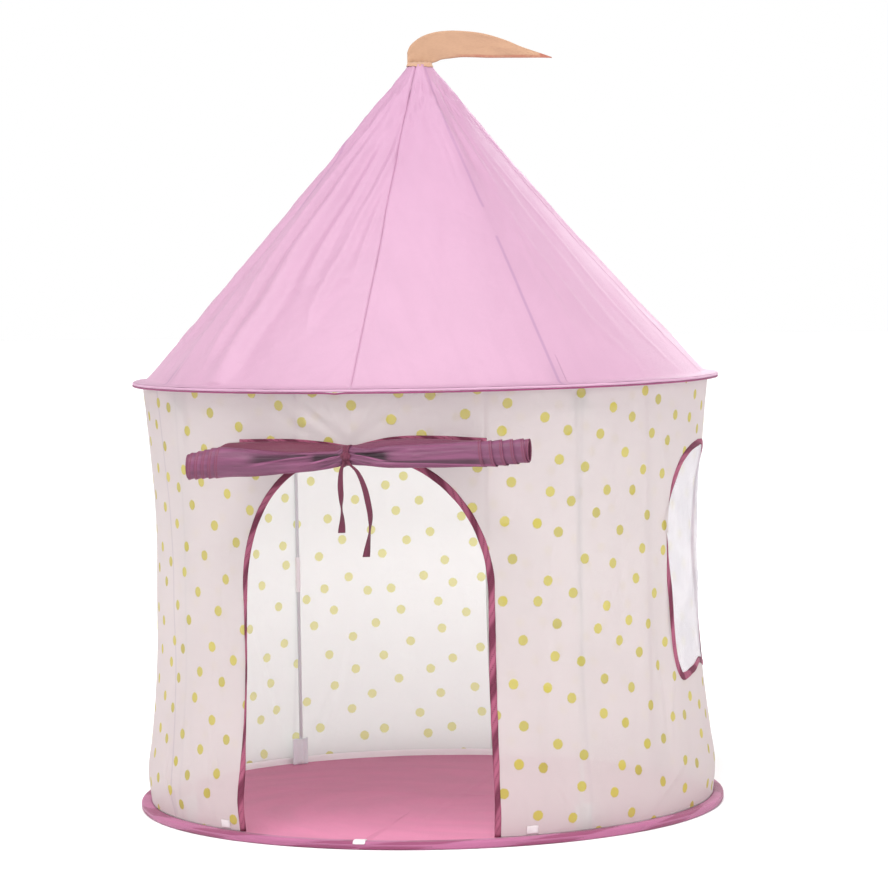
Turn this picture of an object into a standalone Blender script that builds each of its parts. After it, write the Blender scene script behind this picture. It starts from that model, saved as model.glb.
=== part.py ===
"""A child's play tent: a round cloth house with a conical roof, two spring hoops and four
sets of push-fit poles. Run with Blender 4.5. Units are metres, +Z is up, the origin is the
centre of the floor on the ground and the doorway faces -Y.
Azimuth is counted in the ground plane from -Y towards +X.
"""
import math

import bmesh
import bpy
from mathutils import Matrix, Vector
from mathutils.geometry import interpolate_bezier

# Overall sizes
RIM_RADIUS = 0.530
EAVE_HEIGHT = 0.770
ROOF_RISE = 0.565
SEAT_GAP = 0.0003
CUT_OVERRUN = 0.050

# Facets shared by everything that runs round the tent
COLUMN_COUNT = 48
COLUMN_ANGLE = math.tau / COLUMN_COUNT
ROD_SIDES = 12
SMOOTH_LIMIT = math.radians(35)
WIRE_SMOOTH_LIMIT = math.radians(65)

# Floor sheet, and the sleeve round its edge that holds the lower hoop
FLOOR_THICKNESS = 0.0016
FLOOR_SLEEVE_WIDTH = 0.0205
FLOOR_SLEEVE_HEIGHT = 0.0145
FLOOR_SLEEVE_CLOTH = 0.0012
FLOOR_SLEEVE_CORNER = 0.004
HOOP_WIRE_RADIUS = 0.0015
HOOP_WIRE_SIDES = 6

# Eave: a thin sleeve round the upper hoop, edged with a dark binding
EAVE_SLEEVE_WIDTH = 0.0195
EAVE_SLEEVE_CLOTH = 0.0010
EAVE_SLEEVE_CORNER = 0.0013
EAVE_BINDING_THICKNESS = 0.0017
EAVE_BINDING_HEIGHT = 0.005
EAVE_BINDING_DROP = 0.0015

# Walls: rows as (share of the height, share of the waist), from the foot up
WALL_INSET = 0.019
WALL_THICKNESS = 0.0016
WAIST_DEPTH = 0.0145
WALL_FOLD_DEPTH = 0.003
WALL_FOLD_COUNT = 12
WALL_ROW_SHARES = (
    (0, 0), (0.07, -0.41), (0.15, 0.03), (0.24, 0.48), (0.36, 0.90), (0.49, 0.93),
    (0.61, 1), (0.73, 0.93), (0.85, 0.55), (0.92, 0.31), (1, 0),
)
WALL_PANELS = (("wall_front", -6, 6), ("wall_right", 6, 24), ("wall_left", -24, -6))

# Doorway, with its binding: its top is counted down from the flap's seam strip
DOOR_HALF_WIDTH = 0.231
DOOR_ARCH_RISE = 0.238
DOOR_TOP_DROP = 0.0175
DOOR_ARCH_POINTS = 24
DOOR_LEG_POINTS = 6
BINDING_WIDTH = 0.009
BINDING_THICKNESS = 0.003
OUTLINE_STEP = 0.030

# Window in the right wall, as curves from the bottom's middle to the top's middle
WINDOW_AZIMUTH = math.radians(90)
WINDOW_HALF_WIDTH = 0.170
WINDOW_HEIGHT = 0.407
WINDOW_TOP_DROP = 0.118
WINDOW_CURVE_POINTS = 7
WINDOW_CURVE_SHARES = (
    ((0, 0.04), (-0.30, 0.03), (-0.50, -0.01), (-0.66, 0)),
    ((-0.66, 0), (-0.84, 0.02), (-1, 0.30), (-1, 0.56)),
    ((-1, 0.56), (-1, 0.84), (-0.80, 1), (0, 1)),
)
NET_THICKNESS = 0.001
NET_PITCH = 0.038
NET_STRAND_WIDTH = 0.004
NET_EDGE_WIDTH = 0.003
NET_COLUMNS = 6
NET_ROWS = 8

# Roof cloth
GORE_COUNT = 4
ROOF_CLOTH = 0.0012
ROOF_SEAM_INSET = 0.0205
ROOF_FOOT_INSET = 0.027
ROOF_FOOT_RISE = 0.009
ROOF_TOP_RADIUS = 0.020
ROOF_TIP_RADIUS = 0.004
ROOF_TIP_RISE = 0.0015
ROOF_SAG = 0.014
ROOF_SLOPE_ROWS = 6

# Poles: a straight one down the wall and one under the roof at each of four places
POLE_COUNT = 4
WALL_POLE_AZIMUTH = math.radians(45)
ROOF_POLE_AZIMUTH = math.radians(40.2)
ROD_RADIUS = 0.0035
FERRULE_RADIUS = 0.005
FERRULE_LENGTH = 0.068
WALL_FERRULE_SHARE = 0.487
ROOF_FERRULE_SHARE = 0.48
ROOF_POLE_DEPTH = 0.0074

# Pockets that hold the pole ends
POCKET_WIDTH = 0.032
POCKET_THICKNESS = 0.0105
POCKET_FLOOR = 0.003
FOOT_POCKET_HEIGHT = 0.052
WALL_TOP_POCKET_DROP = 0.045
WALL_TOP_POCKET_HEIGHT = 0.032
ROOF_POCKET_LENGTH = 0.030
POCKET_PATCH_THICKNESS = 0.002
POCKET_PATCH_DROP = 0.035
POCKET_PATCH_HEIGHT = 0.040
POCKET_PATCH_WIDTH = 0.072
POCKET_PATCH_INSET = 0.0155

# Four-way hub under the roof's tip
HUB_RADIUS = 0.018
HUB_HEIGHT = 0.028
HUB_DROP = 0.003
HUB_ARM_RADIUS = 0.0055
HUB_ARM_LENGTH = 0.044
HUB_ARM_START = 0.0015
HUB_SOCKET_DEPTH = 0.034

# Pennant on the tip, as (along, up) shares of its length and height, turned off the +X axis
FLAG_LENGTH = 0.261
FLAG_HEIGHT = 0.058
FLAG_BACK = 0.022
FLAG_THICKNESS = 0.002
FLAG_BASE_GAP = 0.0006
FLAG_TURN = math.radians(13.7)
FLAG_OUTLINE_SHARES = (
    (0.005, 0), (0.157, 0), (0.234, 0.05), (0.375, 0.17), (0.559, 0.14), (0.940, 0.11),
    (1, 0.105), (0.782, 0.48), (0.559, 0.86), (0.333, 1), (0.192, 0.96), (0.050, 0.68), (0, 0.41),
)

# Seam strip of the door flap, on the wall over the doorway
STRIP_DROP = 0.0845
STRIP_WIDTH = 0.009
STRIP_THICKNESS = 0.002
STRIP_HALF_COLUMNS = 3.5
STRIP_CELLS = 14

# Rolled-up door flap: straight, hung from its fold line in front of the wall
FLAP_CLOTH = 0.0012
FOLD_LINE_OFFSET = 0.0065
FOLD_LINE_RISE = 0.0005
FOLD_LINE_GAP = 0.0008
FLAP_HALF_WIDTH = 0.213
ROLL_DEPTH = 0.045
ROLL_HEIGHT = 0.056
ROLL_LENGTH = 0.587
ROLL_LEFT_SHARE = 0.4787
ROLL_SIDES = 12
NECK_DROP = 0.003
NECK_STATIONS = 8
# Stations along the roll: share of its length, height of its middle as a share of the
# drop from the fold line, and its thickness as a share of the full one
ROLL_DROP = 0.041
ROLL_SECTION_SHARES = (
    (0, 1, 0.75), (0.032, 0.94, 0.75), (0.034, 0.94, 0.82), (0.064, 0.86, 0.82),
    (0.066, 0.86, 0.90), (0.094, 0.78, 0.90), (0.096, 0.77, 1), (0.20, 0.70, 0.97),
    (0.31, 0.66, 0.90), (0.41, 0.60, 0.74), (0.453, 0.54, 0.54), (0.492, 0.54, 0.54),
    (0.53, 0.52, 0.70), (0.61, 0.51, 0.80), (0.74, 0.49, 0.80), (0.858, 0.465, 0.79),
    (0.860, 0.46, 0.70), (0.905, 0.45, 0.70), (0.907, 0.44, 0.61), (0.953, 0.42, 0.61),
    (0.955, 0.41, 0.52), (1, 0.40, 0.52),
)

# Tie round the roll, its knot, and the two hanging ends of its ribbon
RIBBON_WIDTH = 0.013
RIBBON_THICKNESS = 0.0012
TIE_SHARE = 0.4723
KNOT_WIDTH = 0.018
KNOT_HEIGHT = 0.014
KNOT_DEPTH = 0.010
KNOT_CORNER = 0.0028
RIBBON_SPREAD = 0.0035
RIBBON_SWAY = 0.038
# Each end as its length and its stations: shares of the length, of the sway, of a right angle
# that it is twisted by, and of the full width, which is gathered at the knot
RIBBON_ENDS = (
    ("ribbon_end_left", -1, 0.122, (
        (0, 0, 0, 0.4), (0.03, 0.01, 0, 0.4), (0.14, 0.12, 0.05, 0.9), (0.32, 0.16, 0.15, 1),
        (0.50, 0.12, 0.45, 1), (0.66, 0.10, 0.85, 1), (0.82, 0.10, 0.60, 1), (1, 0.15, 0.20, 1),
    )),
    ("ribbon_end_right", 1, 0.162, (
        (0, 0, 0, 0.4), (0.02, 0.02, 0, 0.4), (0.12, 0.41, 0.10, 0.9), (0.28, 0.72, 0.05, 1),
        (0.44, 0.90, 0.25, 1), (0.58, 1, 0.50, 1), (0.72, 0.97, 0.85, 1), (0.86, 0.86, 0.60, 1),
        (1, 0.76, 0.25, 1),
    )),
)

# Hook-and-loop tabs that close the flap when it is let down
TAB_WIDTH = 0.022
TAB_HEIGHT = 0.014
TAB_THICKNESS = 0.0012
TAB_FOOT_GAP = 0.002
TAB_CELLS = 4
SIDE_TABS = (("hook_tab_left", math.radians(-30.3)), ("hook_tab_right", math.radians(32.7)))

# Colour, roughness and metallic value of each kind of piece
FINISHES = {
    "roof_cloth": ((0.83, 0.48, 0.70, 1), 0.45, 0),
    "wall_cloth": ((0.80, 0.70, 0.74, 1), 0.75, 0),
    "rose_cloth": ((0.58, 0.19, 0.32, 1), 0.60, 0),
    "binding": ((0.36, 0.11, 0.19, 1), 0.65, 0),
    "roll_cloth": ((0.48, 0.20, 0.36, 1), 0.45, 0),
    "net": ((0.88, 0.88, 0.90, 1), 0.80, 0),
    "flag_cloth": ((0.80, 0.44, 0.28, 1), 0.70, 0),
    "pole": ((0.70, 0.70, 0.74, 1), 0.35, 0),
    "white_plastic": ((0.90, 0.90, 0.90, 1), 0.30, 0),
    "pocket_cloth": ((0.62, 0.61, 0.66, 1), 0.75, 0),
    "steel": ((0.55, 0.55, 0.56, 1), 0.35, 1),
    "tab": ((0.82, 0.62, 0.70, 1), 0.85, 0),
}

# Places worked out from the sizes above
ROOF_TOP_HEIGHT = EAVE_HEIGHT + ROOF_RISE
ROOF_FOOT_HEIGHT = EAVE_HEIGHT + ROOF_FOOT_RISE
ROOF_FOOT_RADIUS = RIM_RADIUS - ROOF_FOOT_INSET
ROOF_SEAM_RADIUS = RIM_RADIUS - ROOF_SEAM_INSET
WALL_RADIUS = RIM_RADIUS - WALL_INSET
STRIP_HEIGHT = EAVE_HEIGHT - STRIP_DROP
DOOR_TOP_HEIGHT = STRIP_HEIGHT - DOOR_TOP_DROP
DOOR_SPRING_HEIGHT = DOOR_TOP_HEIGHT - DOOR_ARCH_RISE
WINDOW_TOP_HEIGHT = EAVE_HEIGHT - WINDOW_TOP_DROP
WINDOW_BOTTOM_HEIGHT = WINDOW_TOP_HEIGHT - WINDOW_HEIGHT
FERRULE_HEIGHT = EAVE_HEIGHT * WALL_FERRULE_SHARE
WALL_TOP_POCKET_BOTTOM = EAVE_HEIGHT - WALL_TOP_POCKET_DROP
POCKET_PATCH_BOTTOM = EAVE_HEIGHT - POCKET_PATCH_DROP
POCKET_PATCH_DISTANCE = WALL_RADIUS - POCKET_PATCH_INSET
HUB_TOP = ROOF_TOP_HEIGHT - HUB_DROP
HUB_BOTTOM = HUB_TOP - HUB_HEIGHT
FOLD_LINE_DISTANCE = WALL_RADIUS + FOLD_LINE_OFFSET
FOLD_LINE_HEIGHT = STRIP_HEIGHT + FOLD_LINE_RISE
ROLL_LEFT_END = -ROLL_LENGTH * ROLL_LEFT_SHARE
WALL_FOOT = FLOOR_SLEEVE_HEIGHT + SEAT_GAP
EAVE_SLEEVE_OUTER = RIM_RADIUS - EAVE_BINDING_THICKNESS - SEAT_GAP
EAVE_SLEEVE_INNER = EAVE_SLEEVE_OUTER - EAVE_SLEEVE_WIDTH
EAVE_HALF_HEIGHT = HOOP_WIRE_RADIUS + SEAT_GAP + EAVE_SLEEVE_CLOTH
WALL_TOP = EAVE_HEIGHT - EAVE_HALF_HEIGHT - SEAT_GAP
POLE_DISTANCE = WALL_RADIUS - WAIST_DEPTH - WALL_THICKNESS / 2 - SEAT_GAP - FERRULE_RADIUS
SOCKET_RADIUS = ROD_RADIUS + SEAT_GAP
ROOF_SEAM_HEIGHT = EAVE_HEIGHT + EAVE_HALF_HEIGHT + SEAT_GAP + ROOF_CLOTH / 2
ROOF_SLOPE = Vector((ROOF_TOP_RADIUS - ROOF_FOOT_RADIUS, ROOF_TOP_HEIGHT - ROOF_FOOT_HEIGHT))
FOLD_LINE = Vector((0, -FOLD_LINE_DISTANCE, FOLD_LINE_HEIGHT))
ROLL_AXIS_DISTANCE = FOLD_LINE_DISTANCE + SEAT_GAP + ROLL_DEPTH / 2
ROOF_RUN = ROOF_SLOPE.normalized()
ROOF_INWARD = Vector((-ROOF_RUN.y, ROOF_RUN.x))
ROOF_LENGTH = ROOF_SLOPE.length
HUB_SOCKET_MOUTH = ROOF_LENGTH - HUB_ARM_START - HUB_ARM_LENGTH


def polar(azimuth, radius, height):
    """Point at a distance from the tent's axis."""
    return Vector((radius * math.sin(azimuth), -radius * math.cos(azimuth), height))


def clear_scene():
    for thing in list(bpy.data.objects):
        bpy.data.objects.remove(thing, do_unlink=True)


def new_collection(name):
    collection = bpy.data.collections.new(name)
    bpy.context.scene.collection.children.link(collection)
    return collection


clear_scene()
TENT = new_collection("Kids_play_tent")
CUTTERS = new_collection("Cutters")


def make_material(name, finish):
    colour, roughness, metallic = FINISHES[finish]
    material = bpy.data.materials.new(name)
    material.use_nodes = True
    shader = material.node_tree.nodes["Principled BSDF"]
    shader.inputs["Base Color"].default_value = colour
    shader.inputs["Roughness"].default_value = roughness
    shader.inputs["Metallic"].default_value = metallic
    return material


def move_to(thing, collection):
    for owner in list(thing.users_collection):
        owner.objects.unlink(thing)
    collection.objects.link(thing)


def finish_part(thing, name, finish):
    """Name a made object, file it with the tent and give it a material of its own."""
    move_to(thing, TENT)
    thing.name = name
    thing.data.name = name
    thing.data.materials.clear()
    thing.data.materials.append(make_material(name, finish))
    return thing


def finish_cutter(thing, name):
    move_to(thing, CUTTERS)
    thing.name = name
    thing.hide_render = True
    thing.display_type = "WIRE"
    return thing


def object_from_bmesh(shape, name):
    mesh = bpy.data.meshes.new(name)
    shape.to_mesh(mesh)
    shape.free()
    thing = bpy.data.objects.new(name, mesh)
    bpy.context.scene.collection.objects.link(thing)
    return thing


def shade_round(thing, limit=SMOOTH_LIMIT):
    thing.data.shade_smooth()
    thing.data.set_sharp_from_angle(angle=limit)


def thicken(thing, thickness):
    """Give an open surface a thickness, half to each side."""
    modifier = thing.modifiers.new("Thickness", "SOLIDIFY")
    modifier.thickness = thickness
    modifier.offset = 0
    modifier.use_even_offset = True


def combine(thing, tool, operation):
    modifier = thing.modifiers.new(operation.title(), "BOOLEAN")
    modifier.operation = operation
    modifier.solver = "EXACT"
    modifier.object = tool


def turn_profile(name, profile, steps, closed):
    """Turn a profile of (radius, height) points round Z. It runs down the outer side."""
    shape = bmesh.new()
    corners = [shape.verts.new((radius, 0, height)) for radius, height in profile]
    last = len(corners) if closed else len(corners) - 1
    for index in range(last):
        shape.edges.new((corners[index], corners[(index + 1) % len(corners)]))
    thing = object_from_bmesh(shape, name)
    modifier = thing.modifiers.new("Turn", "SCREW")
    modifier.angle = math.tau
    modifier.steps = steps
    modifier.render_steps = steps
    modifier.use_merge_vertices = True
    modifier.merge_threshold = SEAT_GAP / 6
    return thing


def grid_object(name, columns, rows, place):
    """A grid of columns by rows cells, each corner put where place(u, v) says."""
    shape = bmesh.new()
    bmesh.ops.create_grid(shape, x_segments=columns, y_segments=rows, size=1)
    for corner in shape.verts:
        corner.co = place((corner.co.x + 1) / 2, (corner.co.y + 1) / 2)
    return object_from_bmesh(shape, name)


def box_object(name, size, placing):
    shape = bmesh.new()
    bmesh.ops.create_cube(shape, size=1, matrix=placing @ Matrix.Diagonal((*size, 1)))
    return object_from_bmesh(shape, name)


def cylinder_object(name, radius, start, end, sides):
    """A cylinder between two points."""
    along = end - start
    turned = along.to_track_quat("Z", "Y").to_matrix().to_4x4()
    placing = Matrix.Translation((start + end) / 2) @ turned
    shape = bmesh.new()
    bmesh.ops.create_cone(shape, segments=sides, radius1=radius, radius2=radius,
                          depth=along.length, cap_ends=True, matrix=placing)
    return object_from_bmesh(shape, name)


def loft_object(name, rings, closed):
    """Join rings of equal point counts; an open loft gets its two end faces."""
    shape = bmesh.new()
    corners = [[shape.verts.new(point) for point in ring] for ring in rings]
    count = len(corners[0])
    pairs = list(zip(corners, corners[1:]))
    if closed:
        pairs.append((corners[-1], corners[0]))
    for ring, following in pairs:
        for index in range(count):
            after = (index + 1) % count
            shape.faces.new((ring[index], ring[after], following[after], following[index]))
    if not closed:
        shape.faces.new(list(reversed(corners[0])))
        shape.faces.new(corners[-1])
    bmesh.ops.recalc_face_normals(shape, faces=shape.faces)
    return object_from_bmesh(shape, name)


def put_origin(thing, point):
    """Move an object's origin to a point without moving its shape."""
    thing.data.transform(Matrix.Translation(-point))
    thing.location = point


def hang_from(thing, parent):
    """Parent a piece to the one that carries it, where it is."""
    thing.parent = parent
    thing.location = thing.location - parent.location


def wall_vertex(column, row):
    """Corner of the faceted wall at a whole column and row."""
    up, waist = WALL_ROW_SHARES[row]
    azimuth = column * COLUMN_ANGLE
    fold = WALL_FOLD_DEPTH * math.sin(WALL_FOLD_COUNT * azimuth) * math.sin(math.pi * up)
    radius = WALL_RADIUS - WAIST_DEPTH * waist - fold
    return polar(azimuth, radius, WALL_FOOT + up * (WALL_TOP - WALL_FOOT))


def along_chord(azimuth, start, end):
    """Where the chord from start to end crosses an azimuth."""
    heading = Vector((math.sin(azimuth), -math.cos(azimuth)))
    run = end - start
    share = -heading.cross(start.xy) / heading.cross(run.xy)
    return start + run * share


def wall_point(azimuth, height, lift=0):
    """Point on the middle of the wall's cloth, moved outward by lift."""
    up = min(max((height - WALL_FOOT) / (WALL_TOP - WALL_FOOT), 0), 1)
    row = max(index for index, (start, _) in enumerate(WALL_ROW_SHARES[:-1]) if start <= up)
    column = math.floor(azimuth / COLUMN_ANGLE + SEAT_GAP / WALL_RADIUS)
    lower = along_chord(azimuth, wall_vertex(column, row), wall_vertex(column + 1, row))
    upper = along_chord(azimuth, wall_vertex(column, row + 1), wall_vertex(column + 1, row + 1))
    share = (height - lower.z) / (upper.z - lower.z)
    return lower.lerp(upper, share) + polar(azimuth, lift, 0)


def arc_azimuth(arc):
    """Azimuth of a length measured along the wall."""
    return arc / WALL_RADIUS


def offset_outline(outline, distance, closed):
    """Move each (arc, height) point of an outline to its left by a distance."""
    moved = []
    count = len(outline)
    for index, point in enumerate(outline):
        before = outline[(index - 1) % count] if closed or index else point
        after = outline[(index + 1) % count] if closed or index < count - 1 else point
        run = (after - before).normalized()
        moved.append(point + Vector((-run.y, run.x)) * distance)
    return moved


def door_outline():
    """Middle line of the door binding, up the left leg, over the arch and down."""
    foot = WALL_FOOT
    legs = [foot + (DOOR_SPRING_HEIGHT - foot) * step / DOOR_LEG_POINTS
            for step in range(DOOR_LEG_POINTS)]
    rise = DOOR_TOP_HEIGHT - DOOR_SPRING_HEIGHT
    arch = []
    for step in range(DOOR_ARCH_POINTS + 1):
        angle = math.pi * step / DOOR_ARCH_POINTS
        arch.append(Vector((-DOOR_HALF_WIDTH * math.cos(angle),
                            DOOR_SPRING_HEIGHT + rise * math.sin(angle))))
    left = [Vector((-DOOR_HALF_WIDTH, height)) for height in legs]
    right = [Vector((DOOR_HALF_WIDTH, height)) for height in reversed(legs)]
    return left + arch + right


def window_outline():
    """Middle line of the window binding, from the bottom's middle up the left and round."""
    height = WINDOW_TOP_HEIGHT - WINDOW_BOTTOM_HEIGHT
    middle = WINDOW_AZIMUTH * WALL_RADIUS
    left = []
    for curve in WINDOW_CURVE_SHARES:
        corners = [Vector((WINDOW_HALF_WIDTH * across, height * up, 0)) for across, up in curve]
        left.extend(interpolate_bezier(*corners, WINDOW_CURVE_POINTS)[:-1])
    top = Vector((0, height, 0))
    right = [Vector((-point.x, point.y, 0)) for point in reversed(left[1:])]
    return [Vector((middle + point.x, WINDOW_BOTTOM_HEIGHT + point.y))
            for point in left + [top] + right]


def close_spaced(outline):
    """Add points on the long edges of a closed outline, so that they can follow the wall."""
    spaced = []
    for index, start in enumerate(outline):
        end = outline[(index + 1) % len(outline)]
        pieces = math.ceil((end - start).length / OUTLINE_STEP)
        spaced.extend(start.lerp(end, piece / pieces) for piece in range(pieces))
    return spaced


def outline_cutter(name, outline):
    """A prism through the wall, its sides pointing at the tent's axis."""
    outline = close_spaced(outline)
    inner = WALL_RADIUS - WAIST_DEPTH - WALL_THICKNESS - WALL_FOLD_DEPTH
    outer = WALL_RADIUS + WAIST_DEPTH
    middle = sum((point.x for point in outline), 0) / len(outline)
    height = sum((point.y for point in outline), 0) / len(outline)
    shape = bmesh.new()
    loops = []
    for radius in (inner, outer):
        loops.append([shape.verts.new(polar(arc_azimuth(point.x), radius, point.y))
                      for point in outline])
    tips = [shape.verts.new(polar(arc_azimuth(middle), radius, height))
            for radius in (inner - CUT_OVERRUN, outer + 2 * CUT_OVERRUN)]
    for index in range(len(outline)):
        after = (index + 1) % len(outline)
        shape.faces.new((loops[0][index], loops[0][after], loops[1][after], loops[1][index]))
        shape.faces.new((loops[0][after], loops[0][index], tips[0]))
        shape.faces.new((loops[1][index], loops[1][after], tips[1]))
    bmesh.ops.recalc_face_normals(shape, faces=shape.faces)
    return finish_cutter(object_from_bmesh(shape, name), name)


def make_floor():
    bpy.ops.mesh.primitive_cylinder_add(
        vertices=COLUMN_COUNT, radius=RIM_RADIUS - FLOOR_SLEEVE_WIDTH - SEAT_GAP,
        depth=FLOOR_THICKNESS, location=(0, 0, FLOOR_THICKNESS / 2))
    finish_part(bpy.context.object, "floor_sheet", "rose_cloth")

    skin = FLOOR_SLEEVE_CLOTH / 2
    inner = RIM_RADIUS - FLOOR_SLEEVE_WIDTH
    outer = RIM_RADIUS - skin
    top = FLOOR_SLEEVE_HEIGHT - skin
    profile = (
        (inner, top), (outer - FLOOR_SLEEVE_CORNER, top), (outer, top - FLOOR_SLEEVE_CORNER),
        (outer, skin + FLOOR_SLEEVE_CORNER), (outer - FLOOR_SLEEVE_CORNER, skin), (inner, skin),
    )
    sleeve = turn_profile("floor_sleeve", profile, COLUMN_COUNT, closed=False)
    thicken(sleeve, FLOOR_SLEEVE_CLOTH)
    finish_part(sleeve, "floor_sleeve", "rose_cloth")

    hoop_radius = RIM_RADIUS - FLOOR_SLEEVE_CLOTH - SEAT_GAP - HOOP_WIRE_RADIUS
    make_hoop("floor_hoop", hoop_radius, FLOOR_SLEEVE_HEIGHT / 2)


def make_hoop(name, radius, height):
    """A ring of spring-steel wire."""
    bpy.ops.mesh.primitive_torus_add(
        major_segments=COLUMN_COUNT, minor_segments=HOOP_WIRE_SIDES, major_radius=radius,
        minor_radius=HOOP_WIRE_RADIUS, location=(0, 0, height))
    hoop = finish_part(bpy.context.object, name, "steel")
    shade_round(hoop, WIRE_SMOOTH_LIMIT)


def make_eave():
    skin = EAVE_SLEEVE_CLOTH / 2
    inner = EAVE_SLEEVE_INNER
    outer = EAVE_SLEEVE_OUTER - skin
    rise = EAVE_HALF_HEIGHT - skin
    shoulder = rise - EAVE_SLEEVE_CORNER
    profile = (
        (inner, EAVE_HEIGHT + rise), (outer - EAVE_SLEEVE_CORNER, EAVE_HEIGHT + rise),
        (outer, EAVE_HEIGHT + shoulder), (outer, EAVE_HEIGHT - shoulder),
        (outer - EAVE_SLEEVE_CORNER, EAVE_HEIGHT - rise), (inner, EAVE_HEIGHT - rise),
    )
    sleeve = turn_profile("eave_sleeve", profile, COLUMN_COUNT, closed=False)
    thicken(sleeve, EAVE_SLEEVE_CLOTH)
    finish_part(sleeve, "eave_sleeve", "roof_cloth")

    hoop_radius = EAVE_SLEEVE_OUTER - EAVE_SLEEVE_CLOTH - SEAT_GAP - HOOP_WIRE_RADIUS
    make_hoop("eave_hoop", hoop_radius, EAVE_HEIGHT)

    top = EAVE_HEIGHT - EAVE_BINDING_DROP + EAVE_BINDING_HEIGHT / 2
    bottom = top - EAVE_BINDING_HEIGHT
    back = RIM_RADIUS - EAVE_BINDING_THICKNESS
    profile = ((RIM_RADIUS, top), (RIM_RADIUS, bottom), (back, bottom), (back, top))
    binding = turn_profile("eave_binding", profile, COLUMN_COUNT, closed=True)
    finish_part(binding, "eave_binding", "binding")


def make_walls():
    """Three lengths of cloth; the front ones meet behind poles, the back ones at the back."""
    rows = len(WALL_ROW_SHARES) - 1
    panels = {}
    for name, first, last in WALL_PANELS:
        def place(u, v):
            share = WALL_ROW_SHARES[round(v * rows)][0]
            margin = SEAT_GAP / 2 / WALL_RADIUS
            azimuth = (first + u * (last - first)) * COLUMN_ANGLE
            azimuth = min(max(azimuth, first * COLUMN_ANGLE + margin), last * COLUMN_ANGLE - margin)
            return wall_point(azimuth, WALL_FOOT + share * (WALL_TOP - WALL_FOOT))
        panel = grid_object(name, last - first, rows, place)
        thicken(panel, WALL_THICKNESS)
        panels[name] = finish_part(panel, name, "wall_cloth")

    edge = BINDING_WIDTH / 2 + SEAT_GAP
    doorway = offset_outline(door_outline(), edge, closed=False)
    doorway[0] = doorway[0] - Vector((0, CUT_OVERRUN))
    doorway[-1] = doorway[-1] - Vector((0, CUT_OVERRUN))
    combine(panels["wall_front"], outline_cutter("doorway_cut", doorway), "DIFFERENCE")
    window = offset_outline(window_outline(), edge, closed=True)
    combine(panels["wall_right"], outline_cutter("window_cut", window), "DIFFERENCE")


def make_binding(name, outline, closed):
    """A folded tape that fills the edge of an opening, level with the wall."""
    half = BINDING_WIDTH / 2
    inner = offset_outline(outline, -half, closed)
    outer = offset_outline(outline, half, closed)
    count = len(outline) if closed else len(outline) - 1

    def place(u, v):
        side = outer if v > 0 else inner
        point = side[round(u * count) % len(outline)]
        return wall_point(arc_azimuth(point.x), max(point.y, WALL_FOOT))

    tape = grid_object(name, count, 1, place)
    if closed:
        shape = bmesh.new()
        shape.from_mesh(tape.data)
        bmesh.ops.remove_doubles(shape, verts=shape.verts, dist=SEAT_GAP / 6)
        shape.to_mesh(tape.data)
        shape.free()
    thicken(tape, BINDING_THICKNESS)
    finish_part(tape, name, "binding")


def make_window_net():
    """A coarse net in the window: a curved sheet cut to the binding, then pierced."""
    outline = window_outline()
    arcs = [point.x for point in outline]
    low_arc, high_arc = min(arcs), max(arcs)

    def place(u, v):
        height = WINDOW_BOTTOM_HEIGHT + v * (WINDOW_TOP_HEIGHT - WINDOW_BOTTOM_HEIGHT)
        return wall_point(arc_azimuth(low_arc + u * (high_arc - low_arc)), height)

    net = grid_object("window_net", NET_COLUMNS, NET_ROWS, place)
    thicken(net, NET_THICKNESS)
    finish_part(net, "window_net", "net")
    inside = offset_outline(outline, -BINDING_WIDTH / 2 - SEAT_GAP, closed=True)
    combine(net, outline_cutter("net_edge_cut", inside), "INTERSECT")

    clear = offset_outline(outline, -BINDING_WIDTH / 2 - NET_EDGE_WIDTH, closed=True)
    half = (NET_PITCH - NET_STRAND_WIDTH) / 2
    middle = WINDOW_AZIMUTH * WALL_RADIUS
    across = math.ceil(WINDOW_HALF_WIDTH / NET_PITCH)
    up = math.ceil((WINDOW_TOP_HEIGHT - WINDOW_BOTTOM_HEIGHT) / NET_PITCH)
    shape = bmesh.new()
    for column in range(-across, across):
        for row in range(up):
            arc = middle + (column + 1 / 2) * NET_PITCH
            height = WINDOW_BOTTOM_HEIGHT + (row + 1 / 2) * NET_PITCH
            corners = [(arc + half * x, height + half * z)
                       for x, z in ((-1, -1), (1, -1), (1, 1), (-1, 1))]
            if all(inside_outline(corner, clear) for corner in corners):
                add_prism(shape, corners)
    bmesh.ops.recalc_face_normals(shape, faces=shape.faces)
    cutter = finish_cutter(object_from_bmesh(shape, "net_gaps_cut"), "net_gaps_cut")
    combine(net, cutter, "DIFFERENCE")


def inside_outline(corner, outline):
    """Whether a point lies inside a closed outline, by counting crossings to its right."""
    inside = False
    for index, start in enumerate(outline):
        end = outline[(index + 1) % len(outline)]
        if (start.y > corner[1]) != (end.y > corner[1]):
            crossing = start.x + (corner[1] - start.y) / (end.y - start.y) * (end.x - start.x)
            inside = inside != (crossing > corner[0])
    return inside


def add_prism(shape, corners):
    """A block through the wall over four (arc, height) corners."""
    inner = WALL_RADIUS - 2 * WAIST_DEPTH
    outer = WALL_RADIUS + WAIST_DEPTH
    loops = [[shape.verts.new(polar(arc_azimuth(arc), radius, height)) for arc, height in corners]
             for radius in (inner, outer)]
    shape.faces.new(loops[0])
    shape.faces.new(loops[1])
    for index in range(len(corners)):
        after = (index + 1) % len(corners)
        shape.faces.new((loops[0][index], loops[0][after], loops[1][after], loops[1][index]))


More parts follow.
